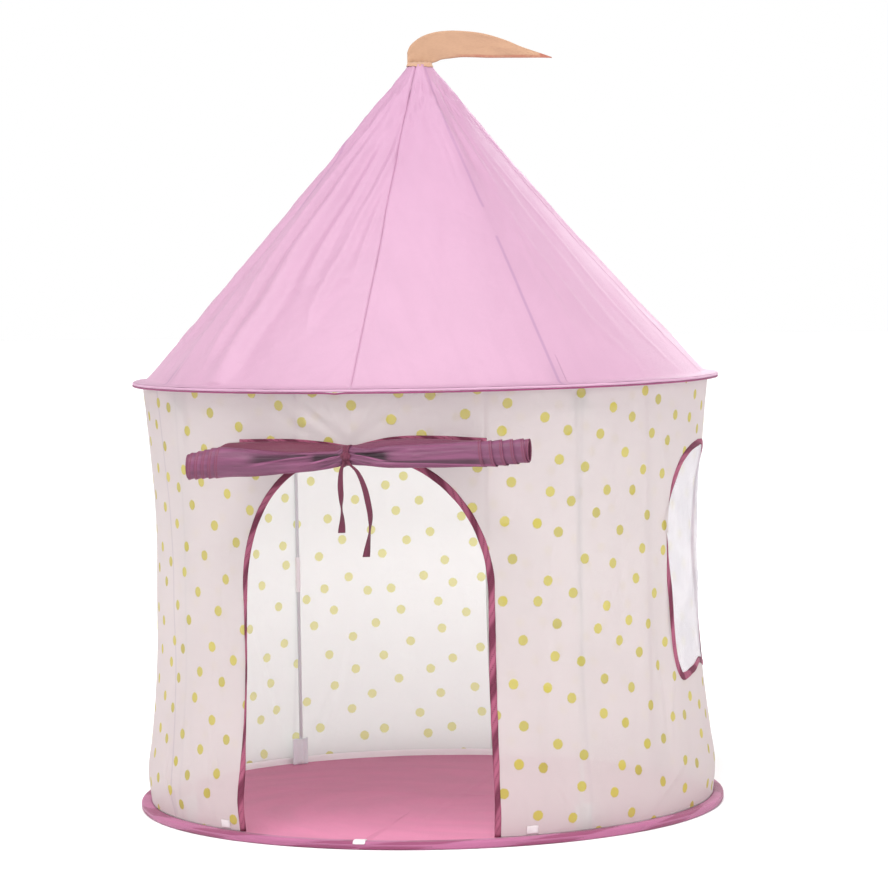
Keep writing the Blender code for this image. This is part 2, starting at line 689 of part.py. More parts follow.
def roof_radius(azimuth, share):
    """Distance of the roof cloth from the axis, drawn in between the poles."""
    straight = ROOF_FOOT_RADIUS + share * (ROOF_TOP_RADIUS - ROOF_FOOT_RADIUS)
    between = (1 - math.cos(POLE_COUNT * (azimuth - ROOF_POLE_AZIMUTH))) / 2
    return straight - ROOF_SAG * between * math.sin(math.pi * share)


def make_roof():
    rows = ROOF_SLOPE_ROWS + 2
    columns = COLUMN_COUNT // GORE_COUNT
    for gore in range(GORE_COUNT):
        first = gore * columns * COLUMN_ANGLE
        last = first + columns * COLUMN_ANGLE

        def place(u, v):
            row = round(v * rows)
            azimuth = first + u * (last - first)
            share = (row - 1) / ROOF_SLOPE_ROWS
            radius = roof_radius(azimuth, share)
            height = ROOF_FOOT_HEIGHT + share * (ROOF_TOP_HEIGHT - ROOF_FOOT_HEIGHT)
            if row == 0:
                radius = ROOF_SEAM_RADIUS
                height = ROOF_SEAM_HEIGHT
            if row == rows:
                radius = ROOF_TIP_RADIUS
                height = ROOF_TOP_HEIGHT + ROOF_TIP_RISE
            margin = SEAT_GAP / 2 / radius
            azimuth = min(max(azimuth, first + margin), last - margin)
            return polar(azimuth, radius, height)

        name = f"roof_gore_{gore + 1}"
        cloth = grid_object(name, columns, rows, place)
        thicken(cloth, ROOF_CLOTH)
        finish_part(cloth, name, "roof_cloth")


def roof_pole_point(azimuth, along):
    """Point on the axis of a roof pole, a length up the slope from the eave."""
    foot = Vector((ROOF_FOOT_RADIUS, ROOF_FOOT_HEIGHT))
    radius, height = foot + ROOF_RUN * along + ROOF_INWARD * ROOF_POLE_DEPTH
    return polar(azimuth, radius, height)


def upright(azimuth, distance, height):
    """Placing with X across, Z up and -Y away from the tent's axis."""
    return Matrix.Translation(polar(azimuth, distance, height)) @ Matrix.Rotation(azimuth, 4, "Z")


def up_the_slope(azimuth, along):
    """Placing on a roof pole with Z up the slope and X across."""
    across = Vector((math.cos(azimuth), math.sin(azimuth), 0))
    run = polar(azimuth, ROOF_RUN.x, ROOF_RUN.y)
    turned = Matrix((across, run.cross(across), run)).transposed().to_4x4()
    return Matrix.Translation(roof_pole_point(azimuth, along)) @ turned


def make_rod(name, start, end):
    rod = cylinder_object(name, ROD_RADIUS, start, end, ROD_SIDES)
    finish_part(rod, name, "pole")
    shade_round(rod)


def make_ferrule(name, azimuth):
    """A tube that joins the two lengths of a wall pole."""
    half = FERRULE_LENGTH / 2
    profile = ((FERRULE_RADIUS, half), (FERRULE_RADIUS, -half),
               (SOCKET_RADIUS, -half), (SOCKET_RADIUS, half))
    tube = turn_profile(name, profile, ROD_SIDES, closed=True)
    tube.location = polar(azimuth, POLE_DISTANCE, FERRULE_HEIGHT)
    tube.rotation_euler = (0, 0, azimuth)
    finish_part(tube, name, "white_plastic")


def make_roof_rods(corner, azimuth):
    """The lower length carries the ferrule; the upper one ends in the hub."""
    foot = POCKET_FLOOR + SEAT_GAP
    joint = ROOF_FERRULE_SHARE * ROOF_LENGTH - foot
    half = FERRULE_LENGTH / 2
    profile = (
        (0, joint), (SOCKET_RADIUS, joint), (SOCKET_RADIUS, joint + half),
        (FERRULE_RADIUS, joint + half), (FERRULE_RADIUS, joint - half),
        (ROD_RADIUS, joint - half), (ROD_RADIUS, 0), (0, 0),
    )
    lower = turn_profile("roof_rod_lower_" + corner, profile, ROD_SIDES, closed=False)
    lower.matrix_world = up_the_slope(azimuth, foot)
    finish_part(lower, "roof_rod_lower_" + corner, "white_plastic")
    socket_end = HUB_SOCKET_MOUTH + HUB_SOCKET_DEPTH
    make_rod("roof_rod_upper_" + corner,
             roof_pole_point(azimuth, foot + joint + SEAT_GAP),
             roof_pole_point(azimuth, socket_end - SEAT_GAP))


def make_foot_pocket(corner, azimuth):
    bottom = FLOOR_THICKNESS + SEAT_GAP
    name = "foot_pocket_" + corner
    pocket = box_object(name, (POCKET_WIDTH, POCKET_THICKNESS, FOOT_POCKET_HEIGHT),
                        upright(azimuth, POLE_DISTANCE, bottom + FOOT_POCKET_HEIGHT / 2))
    socket = cylinder_object(
        "foot_socket_" + corner, SOCKET_RADIUS,
        polar(azimuth, POLE_DISTANCE, bottom + POCKET_FLOOR),
        polar(azimuth, POLE_DISTANCE, bottom + FOOT_POCKET_HEIGHT + CUT_OVERRUN), ROD_SIDES)
    combine(pocket, finish_cutter(socket, socket.name), "DIFFERENCE")
    finish_part(pocket, name, "pocket_cloth")
    return bottom + POCKET_FLOOR + SEAT_GAP


def make_eave_pocket(corner, wall_azimuth, roof_azimuth):
    """Two pockets on one patch: one over the wall pole, one round the roof pole's foot."""
    name = "eave_pocket_" + corner
    height = WALL_TOP_POCKET_HEIGHT
    top = WALL_TOP_POCKET_BOTTOM + height
    pocket = box_object(name, (POCKET_WIDTH, POCKET_THICKNESS, height),
                        upright(wall_azimuth, POLE_DISTANCE, top - height / 2))
    slanted = box_object("roof_pocket_" + corner,
                         (POCKET_WIDTH, POCKET_THICKNESS, ROOF_POCKET_LENGTH),
                         up_the_slope(roof_azimuth, ROOF_POCKET_LENGTH / 2))
    patch = box_object("pocket_patch_" + corner,
                       (POCKET_PATCH_WIDTH, POCKET_PATCH_THICKNESS, POCKET_PATCH_HEIGHT),
                       upright((wall_azimuth + roof_azimuth) / 2, POCKET_PATCH_DISTANCE,
                               POCKET_PATCH_BOTTOM + POCKET_PATCH_HEIGHT / 2))
    wall_socket = cylinder_object(
        "wall_socket_" + corner, SOCKET_RADIUS,
        polar(wall_azimuth, POLE_DISTANCE, WALL_TOP_POCKET_BOTTOM - CUT_OVERRUN),
        polar(wall_azimuth, POLE_DISTANCE, top - POCKET_FLOOR), ROD_SIDES)
    roof_socket = cylinder_object(
        "roof_socket_" + corner, SOCKET_RADIUS, roof_pole_point(roof_azimuth, POCKET_FLOOR),
        roof_pole_point(roof_azimuth, ROOF_POCKET_LENGTH + CUT_OVERRUN), ROD_SIDES)
    for tool, operation in ((slanted, "UNION"), (patch, "UNION"),
                            (wall_socket, "DIFFERENCE"), (roof_socket, "DIFFERENCE")):
        combine(pocket, finish_cutter(tool, tool.name), operation)
    finish_part(pocket, name, "pocket_cloth")
    return top - POCKET_FLOOR - SEAT_GAP


def make_poles():
    for index, corner in enumerate(("front_right", "back_right", "back_left", "front_left")):
        quarter = index * math.tau / POLE_COUNT
        azimuth = WALL_POLE_AZIMUTH + quarter
        foot = make_foot_pocket(corner, azimuth)
        head = make_eave_pocket(corner, azimuth, ROOF_POLE_AZIMUTH + quarter)
        make_rod("wall_rod_lower_" + corner, polar(azimuth, POLE_DISTANCE, foot),
                 polar(azimuth, POLE_DISTANCE, FERRULE_HEIGHT - SEAT_GAP / 2))
        make_rod("wall_rod_upper_" + corner,
                 polar(azimuth, POLE_DISTANCE, FERRULE_HEIGHT + SEAT_GAP / 2),
                 polar(azimuth, POLE_DISTANCE, head))
        make_ferrule("wall_ferrule_" + corner, azimuth)
        make_roof_rods(corner, ROOF_POLE_AZIMUTH + quarter)


def make_hub():
    """A core with four arms; each arm takes the top end of a roof pole."""
    hub = cylinder_object("apex_hub", HUB_RADIUS, Vector((0, 0, HUB_BOTTOM)),
                          Vector((0, 0, HUB_TOP)), COLUMN_COUNT // 2)
    azimuths = [ROOF_POLE_AZIMUTH + index * math.tau / POLE_COUNT for index in range(POLE_COUNT)]
    for index, azimuth in enumerate(azimuths):
        name = f"hub_arm_{index + 1}"
        arm = cylinder_object(name, HUB_ARM_RADIUS, roof_pole_point(azimuth, HUB_SOCKET_MOUTH),
                              roof_pole_point(azimuth, ROOF_LENGTH - HUB_ARM_START), ROD_SIDES)
        combine(hub, finish_cutter(arm, name), "UNION")
    for index, azimuth in enumerate(azimuths):
        name = f"hub_socket_{index + 1}"
        socket = cylinder_object(name, SOCKET_RADIUS,
                                 roof_pole_point(azimuth, HUB_SOCKET_MOUTH - CUT_OVERRUN),
                                 roof_pole_point(azimuth, HUB_SOCKET_MOUTH + HUB_SOCKET_DEPTH),
                                 ROD_SIDES)
        combine(hub, finish_cutter(socket, name), "DIFFERENCE")
    finish_part(hub, "apex_hub", "white_plastic")


def make_flag():
    """A pennant sewn on edge to the roof's tip. Its origin is on the line it bends about,
    half its thickness above its lower edge, so that the edge turns clear of the roof."""
    half = FLAG_THICKNESS / 2
    shape = bmesh.new()
    corners = [shape.verts.new((along * FLAG_LENGTH - FLAG_BACK, 0, up * FLAG_HEIGHT - half))
               for along, up in FLAG_OUTLINE_SHARES]
    shape.faces.new(corners)
    flag = object_from_bmesh(shape, "flag")
    thicken(flag, FLAG_THICKNESS)
    tip = ROOF_TOP_HEIGHT + ROOF_TIP_RISE + ROOF_CLOTH / 2
    flag.location = (0, 0, tip + FLAG_BASE_GAP + half)
    flag.rotation_euler = (0, 0, FLAG_TURN)
    finish_part(flag, "flag", "flag_cloth")


def make_flap_strip():
    """The binding over the doorway that the flap is sewn to, and the cloth out to its fold."""
    lift = WALL_THICKNESS / 2 + SEAT_GAP + STRIP_THICKNESS / 2
    half_angle = STRIP_HALF_COLUMNS * COLUMN_ANGLE

    def place(u, v):
        height = STRIP_HEIGHT + (v - 1 / 2) * STRIP_WIDTH
        return wall_point((2 * u - 1) * half_angle, height, lift)

    strip = grid_object("flap_strip", STRIP_CELLS, 1, place)
    thicken(strip, STRIP_THICKNESS)
    finish_part(strip, "flap_strip", "binding")

    edge = lift + STRIP_THICKNESS / 2 + 2 * SEAT_GAP

    def place_web(u, v):
        azimuth = (2 * u - 1) * half_angle
        back = wall_point(azimuth, FOLD_LINE_HEIGHT, edge)
        front = Vector((back.x, -FOLD_LINE_DISTANCE + FOLD_LINE_GAP, FOLD_LINE_HEIGHT))
        return back.lerp(front, v)

    web = grid_object("flap_web", STRIP_CELLS, 1, place_web)
    thicken(web, FLAP_CLOTH)
    finish_part(web, "flap_web", "roll_cloth")


def roll_station(share):
    """Middle height and half thickness of the roll at a share of its length."""
    stations = list(zip(ROLL_SECTION_SHARES, ROLL_SECTION_SHARES[1:]))
    start, end = next(pair for pair in stations if pair[1][0] >= share)
    part = (share - start[0]) / (end[0] - start[0])
    drop = start[1] + part * (end[1] - start[1])
    size = start[2] + part * (end[2] - start[2])
    return FOLD_LINE_HEIGHT - drop * ROLL_DROP, size / 2


def roll_ring(share, growth, sides):
    """Points round the roll, grown outwards, all at one distance along it."""
    middle, size = roll_station(share)
    points = []
    for side in range(sides):
        angle = math.tau * side / sides
        deep = (size * ROLL_DEPTH + growth) * math.cos(angle)
        tall = (size * ROLL_HEIGHT + growth) * math.sin(angle)
        points.append(Vector((ROLL_LEFT_END + share * ROLL_LENGTH,
                              -ROLL_AXIS_DISTANCE + deep, middle + tall)))
    return points


def make_neck(name, low, high):
    """Cloth from the fold line to the top of the roll, between two distances along it."""
    def place(u, v):
        along = low + u * (high - low)
        middle, size = roll_station((along - ROLL_LEFT_END) / ROLL_LENGTH)
        near = Vector((along, -FOLD_LINE_DISTANCE, FOLD_LINE_HEIGHT))
        far = Vector((along, -ROLL_AXIS_DISTANCE, middle + size * ROLL_HEIGHT - NECK_DROP))
        return near.lerp(far, v)
    neck = grid_object(name, NECK_STATIONS, 1, place)
    thicken(neck, FLAP_CLOTH)
    return finish_cutter(neck, name)


def make_door_roll():
    rings = [roll_ring(share, 0, ROLL_SIDES) for share, _, _ in ROLL_SECTION_SHARES]
    roll = loft_object("door_roll", rings, closed=False)
    put_origin(roll, FOLD_LINE)
    tie_middle = ROLL_LEFT_END + TIE_SHARE * ROLL_LENGTH
    margin = RIBBON_WIDTH / 2 + FOLD_LINE_GAP
    combine(roll, make_neck("neck_left", -FLAP_HALF_WIDTH, tie_middle - margin), "UNION")
    combine(roll, make_neck("neck_right", tie_middle + margin, FLAP_HALF_WIDTH), "UNION")
    finish_part(roll, "door_roll", "roll_cloth")
    shade_round(roll)
    return roll


def make_tie(roll):
    """A ribbon round the pinched roll, knotted at its front. Returns the knot's middle."""
    across = RIBBON_WIDTH / 2
    inner = roll_ring(TIE_SHARE, SEAT_GAP, ROLL_SIDES)
    outer = roll_ring(TIE_SHARE, SEAT_GAP + RIBBON_THICKNESS, ROLL_SIDES)
    step = Vector((across, 0, 0))
    rings = [(near - step, far - step, far + step, near + step)
             for near, far in zip(inner, outer)]
    tie = loft_object("tie_band", rings, closed=True)
    middle = outer[ROLL_SIDES // 2]
    shape = bmesh.new()
    bmesh.ops.create_cube(
        shape, size=1, matrix=Matrix.Translation(middle)
        @ Matrix.Diagonal((KNOT_WIDTH, KNOT_DEPTH, KNOT_HEIGHT, 1)))
    bmesh.ops.bevel(shape, geom=shape.edges[:], offset=KNOT_CORNER, segments=2,
                    profile=1 / 2, affect="EDGES")
    knot = finish_cutter(object_from_bmesh(shape, "knot"), "knot")
    reach = Vector((KNOT_WIDTH, 0, 0))
    core = loft_object("tie_core", [[point - reach for point in inner],
                                    [point + reach for point in inner]], closed=False)
    put_origin(tie, FOLD_LINE)
    combine(tie, knot, "UNION")
    combine(tie, finish_cutter(core, "tie_core"), "DIFFERENCE")
    finish_part(tie, "tie_band", "binding")
    hang_from(tie, roll)
    return middle


def make_ribbon_ends(roll, knot):
    """The two free ends, hung from the underside of the knot. The origin of each lies its
    thickness below its top edge, so that the edge turns clear of the knot."""
    for name, side, length, path in RIBBON_ENDS:
        top = knot + Vector((side * RIBBON_SPREAD, 0, -KNOT_HEIGHT / 2 - SEAT_GAP))
        pivot = top - Vector((0, 0, RIBBON_THICKNESS))
        rings = []
        for down, sideways, turned, width in path:
            angle = turned * math.pi / 2
            wide = Vector((math.cos(angle), math.sin(angle), 0)) * RIBBON_WIDTH * width / 2
            thick = Vector((-math.sin(angle), math.cos(angle), 0)) * RIBBON_THICKNESS / 2
            middle = top + Vector((side * sideways * RIBBON_SWAY, 0, -down * length))
            rings.append((middle - wide - thick, middle + wide - thick,
                          middle + wide + thick, middle - wide + thick))
        ribbon = loft_object(name, rings, closed=False)
        put_origin(ribbon, pivot)
        finish_part(ribbon, name, "binding")
        hang_from(ribbon, roll)


def make_tabs():
    """One tab on the threshold and one each side at the foot of the wall."""
    middle = RIM_RADIUS - FLOOR_SLEEVE_WIDTH / 2 - FLOOR_SLEEVE_CORNER / 2
    seat = FLOOR_SLEEVE_HEIGHT + SEAT_GAP + TAB_THICKNESS / 2
    tab = box_object("hook_tab_threshold", (TAB_WIDTH, TAB_HEIGHT, TAB_THICKNESS),
                     upright(0, middle, seat))
    finish_part(tab, "hook_tab_threshold", "tab")
    lift = WALL_THICKNESS / 2 + SEAT_GAP + TAB_THICKNESS / 2
    for name, azimuth in SIDE_TABS:
        def place(u, v):
            turn = (u - 1 / 2) * TAB_WIDTH / WALL_RADIUS
            height = WALL_FOOT + TAB_FOOT_GAP + v * TAB_HEIGHT
            return wall_point(azimuth + turn, height, lift)
        tab = grid_object(name, TAB_CELLS, 1, place)
        thicken(tab, TAB_THICKNESS)
        finish_part(tab, name, "tab")


def build_tent():
    make_floor()
    make_eave()
    make_walls()
    make_binding("door_binding", door_outline(), closed=False)
    make_binding("window_binding", window_outline(), closed=True)
    make_window_net()
    make_roof()
    make_poles()
    make_hub()
    make_flag()
    make_flap_strip()
    roll = make_door_roll()
    knot = make_tie(roll)
    make_ribbon_ends(roll, knot)
    make_tabs()


build_tent()
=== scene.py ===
"""Looks for the kids play tent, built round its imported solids. Metres, +Z up, doorway to -Y.
Azimuth is counted from -Y towards +X, as in the part. Cloth coordinates are kept in a UV map
named cloth, in metres along and up each piece.
"""
import functools
import math
import random

import bmesh
import bpy
import numpy as np
from mathutils import Matrix, Vector, noise
from mathutils.geometry import interpolate_bezier


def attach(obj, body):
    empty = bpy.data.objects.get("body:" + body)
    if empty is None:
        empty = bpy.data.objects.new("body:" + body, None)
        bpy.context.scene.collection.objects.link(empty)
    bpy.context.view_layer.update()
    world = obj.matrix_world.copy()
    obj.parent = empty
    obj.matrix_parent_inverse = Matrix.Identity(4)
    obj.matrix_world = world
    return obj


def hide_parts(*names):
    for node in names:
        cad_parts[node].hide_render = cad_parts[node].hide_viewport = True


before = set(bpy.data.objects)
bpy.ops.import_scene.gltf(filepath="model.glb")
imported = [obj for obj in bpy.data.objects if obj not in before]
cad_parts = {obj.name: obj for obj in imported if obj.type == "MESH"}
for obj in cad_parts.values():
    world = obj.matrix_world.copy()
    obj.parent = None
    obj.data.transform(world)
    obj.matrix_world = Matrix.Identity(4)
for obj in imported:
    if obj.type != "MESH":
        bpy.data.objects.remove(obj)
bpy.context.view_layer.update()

# Camera, fitted to the photograph's rims and axis
CAMERA_DISTANCE = 6.128
CAMERA_HEIGHT = 1.0104
CAMERA_FOCUS_PX = 3377.5
IMAGE_PX = 888
SENSOR_MM = 36
CAMERA_PITCH = 0.0589
CAMERA_YAW = 0.0052
CAMERA_ROLL = -0.0177
TENT_TURN = math.radians(13.7)

# Sizes that follow the part, and the order of its corners
CORNERS = ("front_right", "back_right", "back_left", "front_left")
QUARTER = math.pi / 2
RIM_RADIUS = 0.53
WALL_RADIUS = 0.511
WAIST = 0.0145
WALL_FOOT = 0.0148
WALL_TOP = 0.7664
WALL_HIGH = WALL_TOP - WALL_FOOT
WALL_ROWS = ((0, 0), (0.07, -0.41), (0.15, 0.03), (0.24, 0.48), (0.36, 0.9), (0.49, 0.93),
             (0.61, 1), (0.73, 0.93), (0.85, 0.55), (0.92, 0.31), (1, 0))
DOOR_HALF = 0.231
DOOR_SPRING = 0.43
DOOR_TOP = 0.668
WINDOW_ARC = QUARTER * WALL_RADIUS
WINDOW_HALF = 0.17
WINDOW_LOW = 0.245
WINDOW_HIGH = 0.652
WINDOW_CURVES = (
    ((0, 0.04), (-0.3, 0.03), (-0.5, -0.01), (-0.66, 0)),
    ((-0.66, 0), (-0.84, 0.02), (-1, 0.3), (-1, 0.56)),
    ((-1, 0.56), (-1, 0.84), (-0.8, 1), (0, 1)),
)
WINDOW_PULL = 0.0065
ROOF_FOOT = (0.503, 0.779)
ROOF_TIP = (0.02, 1.335)
ROOF_POLE = math.radians(40.2)
FERRULE_UP = 0.359
POLE_AT = 0.4904
FOLD_Y = -0.5175
FOLD_Z = 0.686
KNOT = Vector((-0.003757, -0.55395, 0.66386))
TIE_X = KNOT.x
FLAG_PIVOT = Vector((0, 0, 1.3387))
FLAG_LENGTH = 0.261

# Colours, as linear values
PINK = (0.572, 0.338, 0.47)
PALE = (0.595, 0.542, 0.537)
WHITE = (0.82, 0.87, 0.83)
DOT = (0.52, 0.46, 0.06)
ROSE = (0.585, 0.175, 0.31)
RIM = (0.39, 0.12, 0.235)
PLUM = (0.178, 0.036, 0.072)
MAUVE = (0.178, 0.054, 0.115)
PEACH = (0.5, 0.298, 0.19)
GREY = (0.88, 0.96, 0.98)

# Sides of a cell of the wall's and the net's sheets, and sizes of small pieces
WALL_CELL = 0.006
NET_CELL = 0.008
SEAM_HALF = 0.0048
STRIP_HALF = 0.0045
BAND_HALF = 0.0065
RIBBON_HALF = 0.0062
RIBBON_SWAY = 0.038
POCKET_WIDTH = 0.033
TAB_HALF = (0.011, 0.007)

# Repeats of the net's holes and of the stitches
NET_PITCH = 0.0026
STITCH_PITCH = 0.0032

# Print on the walls, and the painted shadow lines of the poles behind them as arcs and leans
DOT_PITCH = 0.062
DOT_RADIUS = 0.009
DOT_TURN = math.radians(24)
POLE_ARC = 0.40134
FRONT_POLE_ARC = 0.433
FRONT_POLE_LEAN = 0.0627


def polar(azimuth, radius, height):
    return Vector((radius * math.sin(azimuth), -radius * math.cos(azimuth), height))


def bell(x, width):
    return math.exp(-(x / width) ** 2)


def clip(x):
    return min(max(x, 0), 1)


def wrapped(angle):
    """The same angle between half a turn back and half a turn on."""
    return (angle + math.pi) % math.tau - math.pi


def step(x, low, high):
    t = clip((x - low) / (high - low))
    return t * t * (3 - 2 * t)


def rough(x, y, z=0.0):
    """Smooth noise about 0, roughly from -1 to 1."""
    return noise.noise(Vector((x, y, z)))


def near_line(x, y, line):
    """Signed distance to a line of points and how far along it the nearest point lies."""
    best = (9.0, 0.0)
    for n, ((x0, y0), (x1, y1)) in enumerate(zip(line, line[1:])):
        run_x, run_y = x1 - x0, y1 - y0
        length = run_x * run_x + run_y * run_y
        share = clip(((x - x0) * run_x + (y - y0) * run_y) / length)
        off_x, off_y = x - x0 - share * run_x, y - y0 - share * run_y
        far = math.hypot(off_x, off_y)
        if far < abs(best[0]):
            side = 1 if off_x * run_y - off_y * run_x >= 0 else -1
            best = (side * far, (n + share) / (len(line) - 1))
    return best


def curve_at(table, x):
    """Smooth value at x of a table of (x, value) rows."""
    xs = [row[0] for row in table]
    i = min(max(int(np.searchsorted(xs, x)) - 1, 0), len(xs) - 2)
    x0, x1 = xs[i], xs[i + 1]
    y0, y1 = table[i][1], table[i + 1][1]
    before = table[max(i - 1, 0)]
    after = table[min(i + 2, len(xs) - 1)]
    m0 = (y1 - before[1]) / (x1 - before[0])
    m1 = (after[1] - y0) / (after[0] - x0)
    h = x1 - x0
    t = clip((x - x0) / h)
    return ((2 * t ** 3 - 3 * t ** 2 + 1) * y0 + (t ** 3 - 2 * t ** 2 + t) * h * m0
            + (3 * t ** 2 - 2 * t ** 3) * y1 + (t ** 3 - t ** 2) * h * m1)


# Shaders
class Value:
    """A shader value that takes part in sums, so that a material reads as formulas."""

    def __init__(self, tree, socket):
        self.tree = tree
        self.socket = socket

    def __add__(self, other):
        return self.tree.math("ADD", self, other)

    def __sub__(self, other):
        return self.tree.math("SUBTRACT", self, other)

    def __rsub__(self, other):
        return self.tree.math("SUBTRACT", other, self)

    def __mul__(self, other):
        return self.tree.math("MULTIPLY", self, other)

    def __truediv__(self, other):
        return self.tree.math("DIVIDE", self, other)

    def __abs__(self):
        return self.tree.math("ABSOLUTE", self)


class Tree:
    """The node tree of a material or a world, with short calls for the nodes that cloth needs."""

    def __init__(self, owner):
        self.owner = owner
        owner.use_nodes = True
        self.nodes = owner.node_tree.nodes
        self.links = owner.node_tree.links
        self.nodes.clear()

    def add(self, kind, values=(), out=0, **settings):
        """Add a node and give one of its outputs, or all of them where out is None."""
        node = self.nodes.new(kind)
        for key, value in settings.items():
            setattr(node, key, value)
        for key, value in dict(values).items():
            if isinstance(value, Value):
                self.links.new(value.socket, node.inputs[key])
            else:
                node.inputs[key].default_value = value
        if out is None:
            return [Value(self, socket) for socket in node.outputs]
        return Value(self, node.outputs[out]) if len(node.outputs) else None

    def finish(self, surface, kind="Material"):
        self.add("ShaderNodeOutput" + kind, {0: surface})
        return self.owner

    def uv(self):
        return self.add("ShaderNodeUVMap", uv_map="cloth")

    def place(self):
        return self.add("ShaderNodeTexCoord", out="Object")

    def split(self, vector):
        return self.add("ShaderNodeSeparateXYZ", {0: vector}, None)

    def math(self, operation, a, b=0.0):
        return self.add("ShaderNodeMath", {0: a, 1: b}, operation=operation)

    def scaled(self, vector, scale):
        return self.add("ShaderNodeMapping", {"Vector": vector, "Scale": scale})

    def noise(self, vector, scale, detail=2.0):
        return self.add("ShaderNodeTexNoise", {"Vector": vector, "Scale": scale, "Detail": detail})

    def ramp(self, value, low, high, start=0.0, end=1.0):
        values = {"Value": value, "From Min": low, "From Max": high, "To Min": start, "To Max": end}
        return self.add("ShaderNodeMapRange", values, interpolation_type="SMOOTHSTEP")

    def line(self, value, low, high, deep=1.0):
        """A line with soft sides where the value is 0."""
        return self.ramp(abs(value), low, high, deep, 0.0)

    def mix(self, share, first, second):
        return self.add("ShaderNodeMix", {0: share, 6: first, 7: second}, 2, data_type="RGBA")

    def blend(self, share, first, second):
        return self.add("ShaderNodeMixShader", {0: share, 1: first, 2: second})

    def bump(self, height, distance, normal=None):
        values = {"Height": height, "Distance": distance, "Strength": 1.0}
        if normal is not None:
            values["Normal"] = normal
        return self.add("ShaderNodeBump", values)

    def surface(self, tone, roughness, **values):
        values = {key.replace("_", " "): value for key, value in values.items()}
        values.update({"Base Color": tone, "Roughness": roughness})
        return self.add("ShaderNodeBsdfPrincipled", values)


def shade(colour, factor=1.0):
    return (*[min(channel * factor, 1.0) for channel in colour[:3]], 1.0)


def cloth(name, colour, roughness=0.7, sheen=0.15, pitch=0.0008, depth=0.00006, vary=0.06,
          streak=0.0, through=0.0, clear=0.0, glow=None, shine=0.35, paint=None):
    """Woven cloth: threads, uneven dye, slubs, light that comes through, and printed marks."""
    t = Tree(bpy.data.materials.new(name))
    uv = t.uv()
    broad = t.noise(uv, 9.0, 3.0)
    fine = t.noise(t.scaled(uv, (160.0, 900.0, 1.0)), 1.0, 2.0)
    tone = t.mix(t.ramp(broad, 0.3, 0.7), shade(colour, 1 - vary), shade(colour, 1 + vary))
    if streak:
        tone = t.mix(t.ramp(fine, 0.35, 0.75, 0.0, streak), tone, shade(colour, 0.72))
    marks = None
    if paint is not None:
        tone, marks = paint(t, uv, tone)
    x, y, _ = t.split(uv)
    warp = t.math("SINE", x * (math.tau / pitch))
    weft = t.math("SINE", y * (math.tau / pitch))
    normal = t.bump(warp * weft + fine * 1.5, depth)
    normal = t.bump(t.noise(uv, 38.0, 4.0), 0.0012, normal)
    if marks is not None:
        normal = t.bump(marks, 0.0006, normal)
    result = t.surface(tone, t.ramp(broad, 0.2, 0.8, roughness - 0.05, roughness + 0.06),
                       Normal=normal, Sheen_Weight=sheen, Sheen_Roughness=0.4,
                       Specular_IOR_Level=shine)
    if through:
        passed = tone
        if glow is not None:
            passed = t.mix((1.0 - marks) * glow[3], tone, shade(glow))
        back = t.add("ShaderNodeBsdfTranslucent", {"Color": passed, "Normal": normal})
        result = t.blend(through, result, back)
    if clear:
        result = t.blend(clear, result, t.add("ShaderNodeBsdfTransparent"))
    return t.finish(result)


def solid_finish(name, colour, roughness, metallic=0.0, grain=(1.0, 1.0, 1.0), depth=0.00003):
    """Plastic or wire, with faint drawn or moulded marks."""
    t = Tree(bpy.data.materials.new(name))
    place = t.scaled(t.place(), grain)
    marks = t.noise(place, 220.0, 4.0)
    broad = t.noise(place, 12.0, 2.0)
    tone = t.mix(t.ramp(broad, 0.3, 0.7), shade(colour, 0.95), shade(colour, 1.04))
    rub = t.ramp(marks, 0.2, 0.8, roughness - 0.05, roughness + 0.1)
    return t.finish(t.surface(tone, rub, Metallic=metallic, Normal=t.bump(marks, depth)))


def dots(t, uv, tone):
    """Small round dots at uneven places with soft printed edges; a paler inner side with brighter
    dots, partly the unprinted inner cloth and partly painted light coming through the cloth; and
    painted shadows of the poles and the front one's foot pocket behind the cloth."""
    turned = t.add("ShaderNodeMapping", {"Vector": uv, "Rotation": (0, 0, DOT_TURN),
                                         "Location": (0.013, 0.021, 0)})
    far, own, *_ = t.add("ShaderNodeTexVoronoi", {"Vector": turned, "Scale": 1 / DOT_PITCH,
                                                  "Randomness": 0.42}, None,
                         voronoi_dimensions="2D")
    reach = DOT_RADIUS / DOT_PITCH + 0.015
    printed = t.ramp(far + t.noise(uv, 260.0, 1.0) * 0.03, reach - 0.018, reach + 0.018, 0.95, 0.0)
    ink = t.mix(t.split(own)[0], shade(DOT, 0.88), shade(DOT, 1.12))
    # The inner side is paler and its dots brighter: partly the unprinted inner cloth, partly painted
    # light coming through the cloth from behind.
    inner = t.add("ShaderNodeNewGeometry", out="Backfacing")
    ink = t.mix(inner, ink, (0.66, 0.64, 0.16, 1))
    tone = t.mix(inner, tone, shade(WHITE))
    x, y, _ = t.split(uv)
    # Painted shade: faint shadow lines of the poles behind the wall, one at every quarter.
    line = t.ramp(t.math("PINGPONG", x + POLE_ARC, POLE_ARC), 0.0012, 0.006, 0.13, 0.0)
    # Painted shadow line of the front left pole, leaning and set a little off its arc, and low down
    # the painted shadow of its foot pocket.
    fold = x + (y * FRONT_POLE_LEAN + FRONT_POLE_ARC)
    line = t.math("MAXIMUM", line, t.line(fold, 0.0008, 0.0045, 0.6))
    foot = t.line(fold - 0.006, 0.008, 0.01, 0.3)
    foot = foot * t.ramp(y, 0.062, 0.066, 1.0, 0.0) * t.ramp(y, 0.018, 0.022)
    # Darken the wall to grey along these painted shadows.
    tone = t.mix(t.math("MAXIMUM", line, foot), tone, (0.4, 0.36, 0.4, 1))
    return t.mix(printed, tone, ink), printed


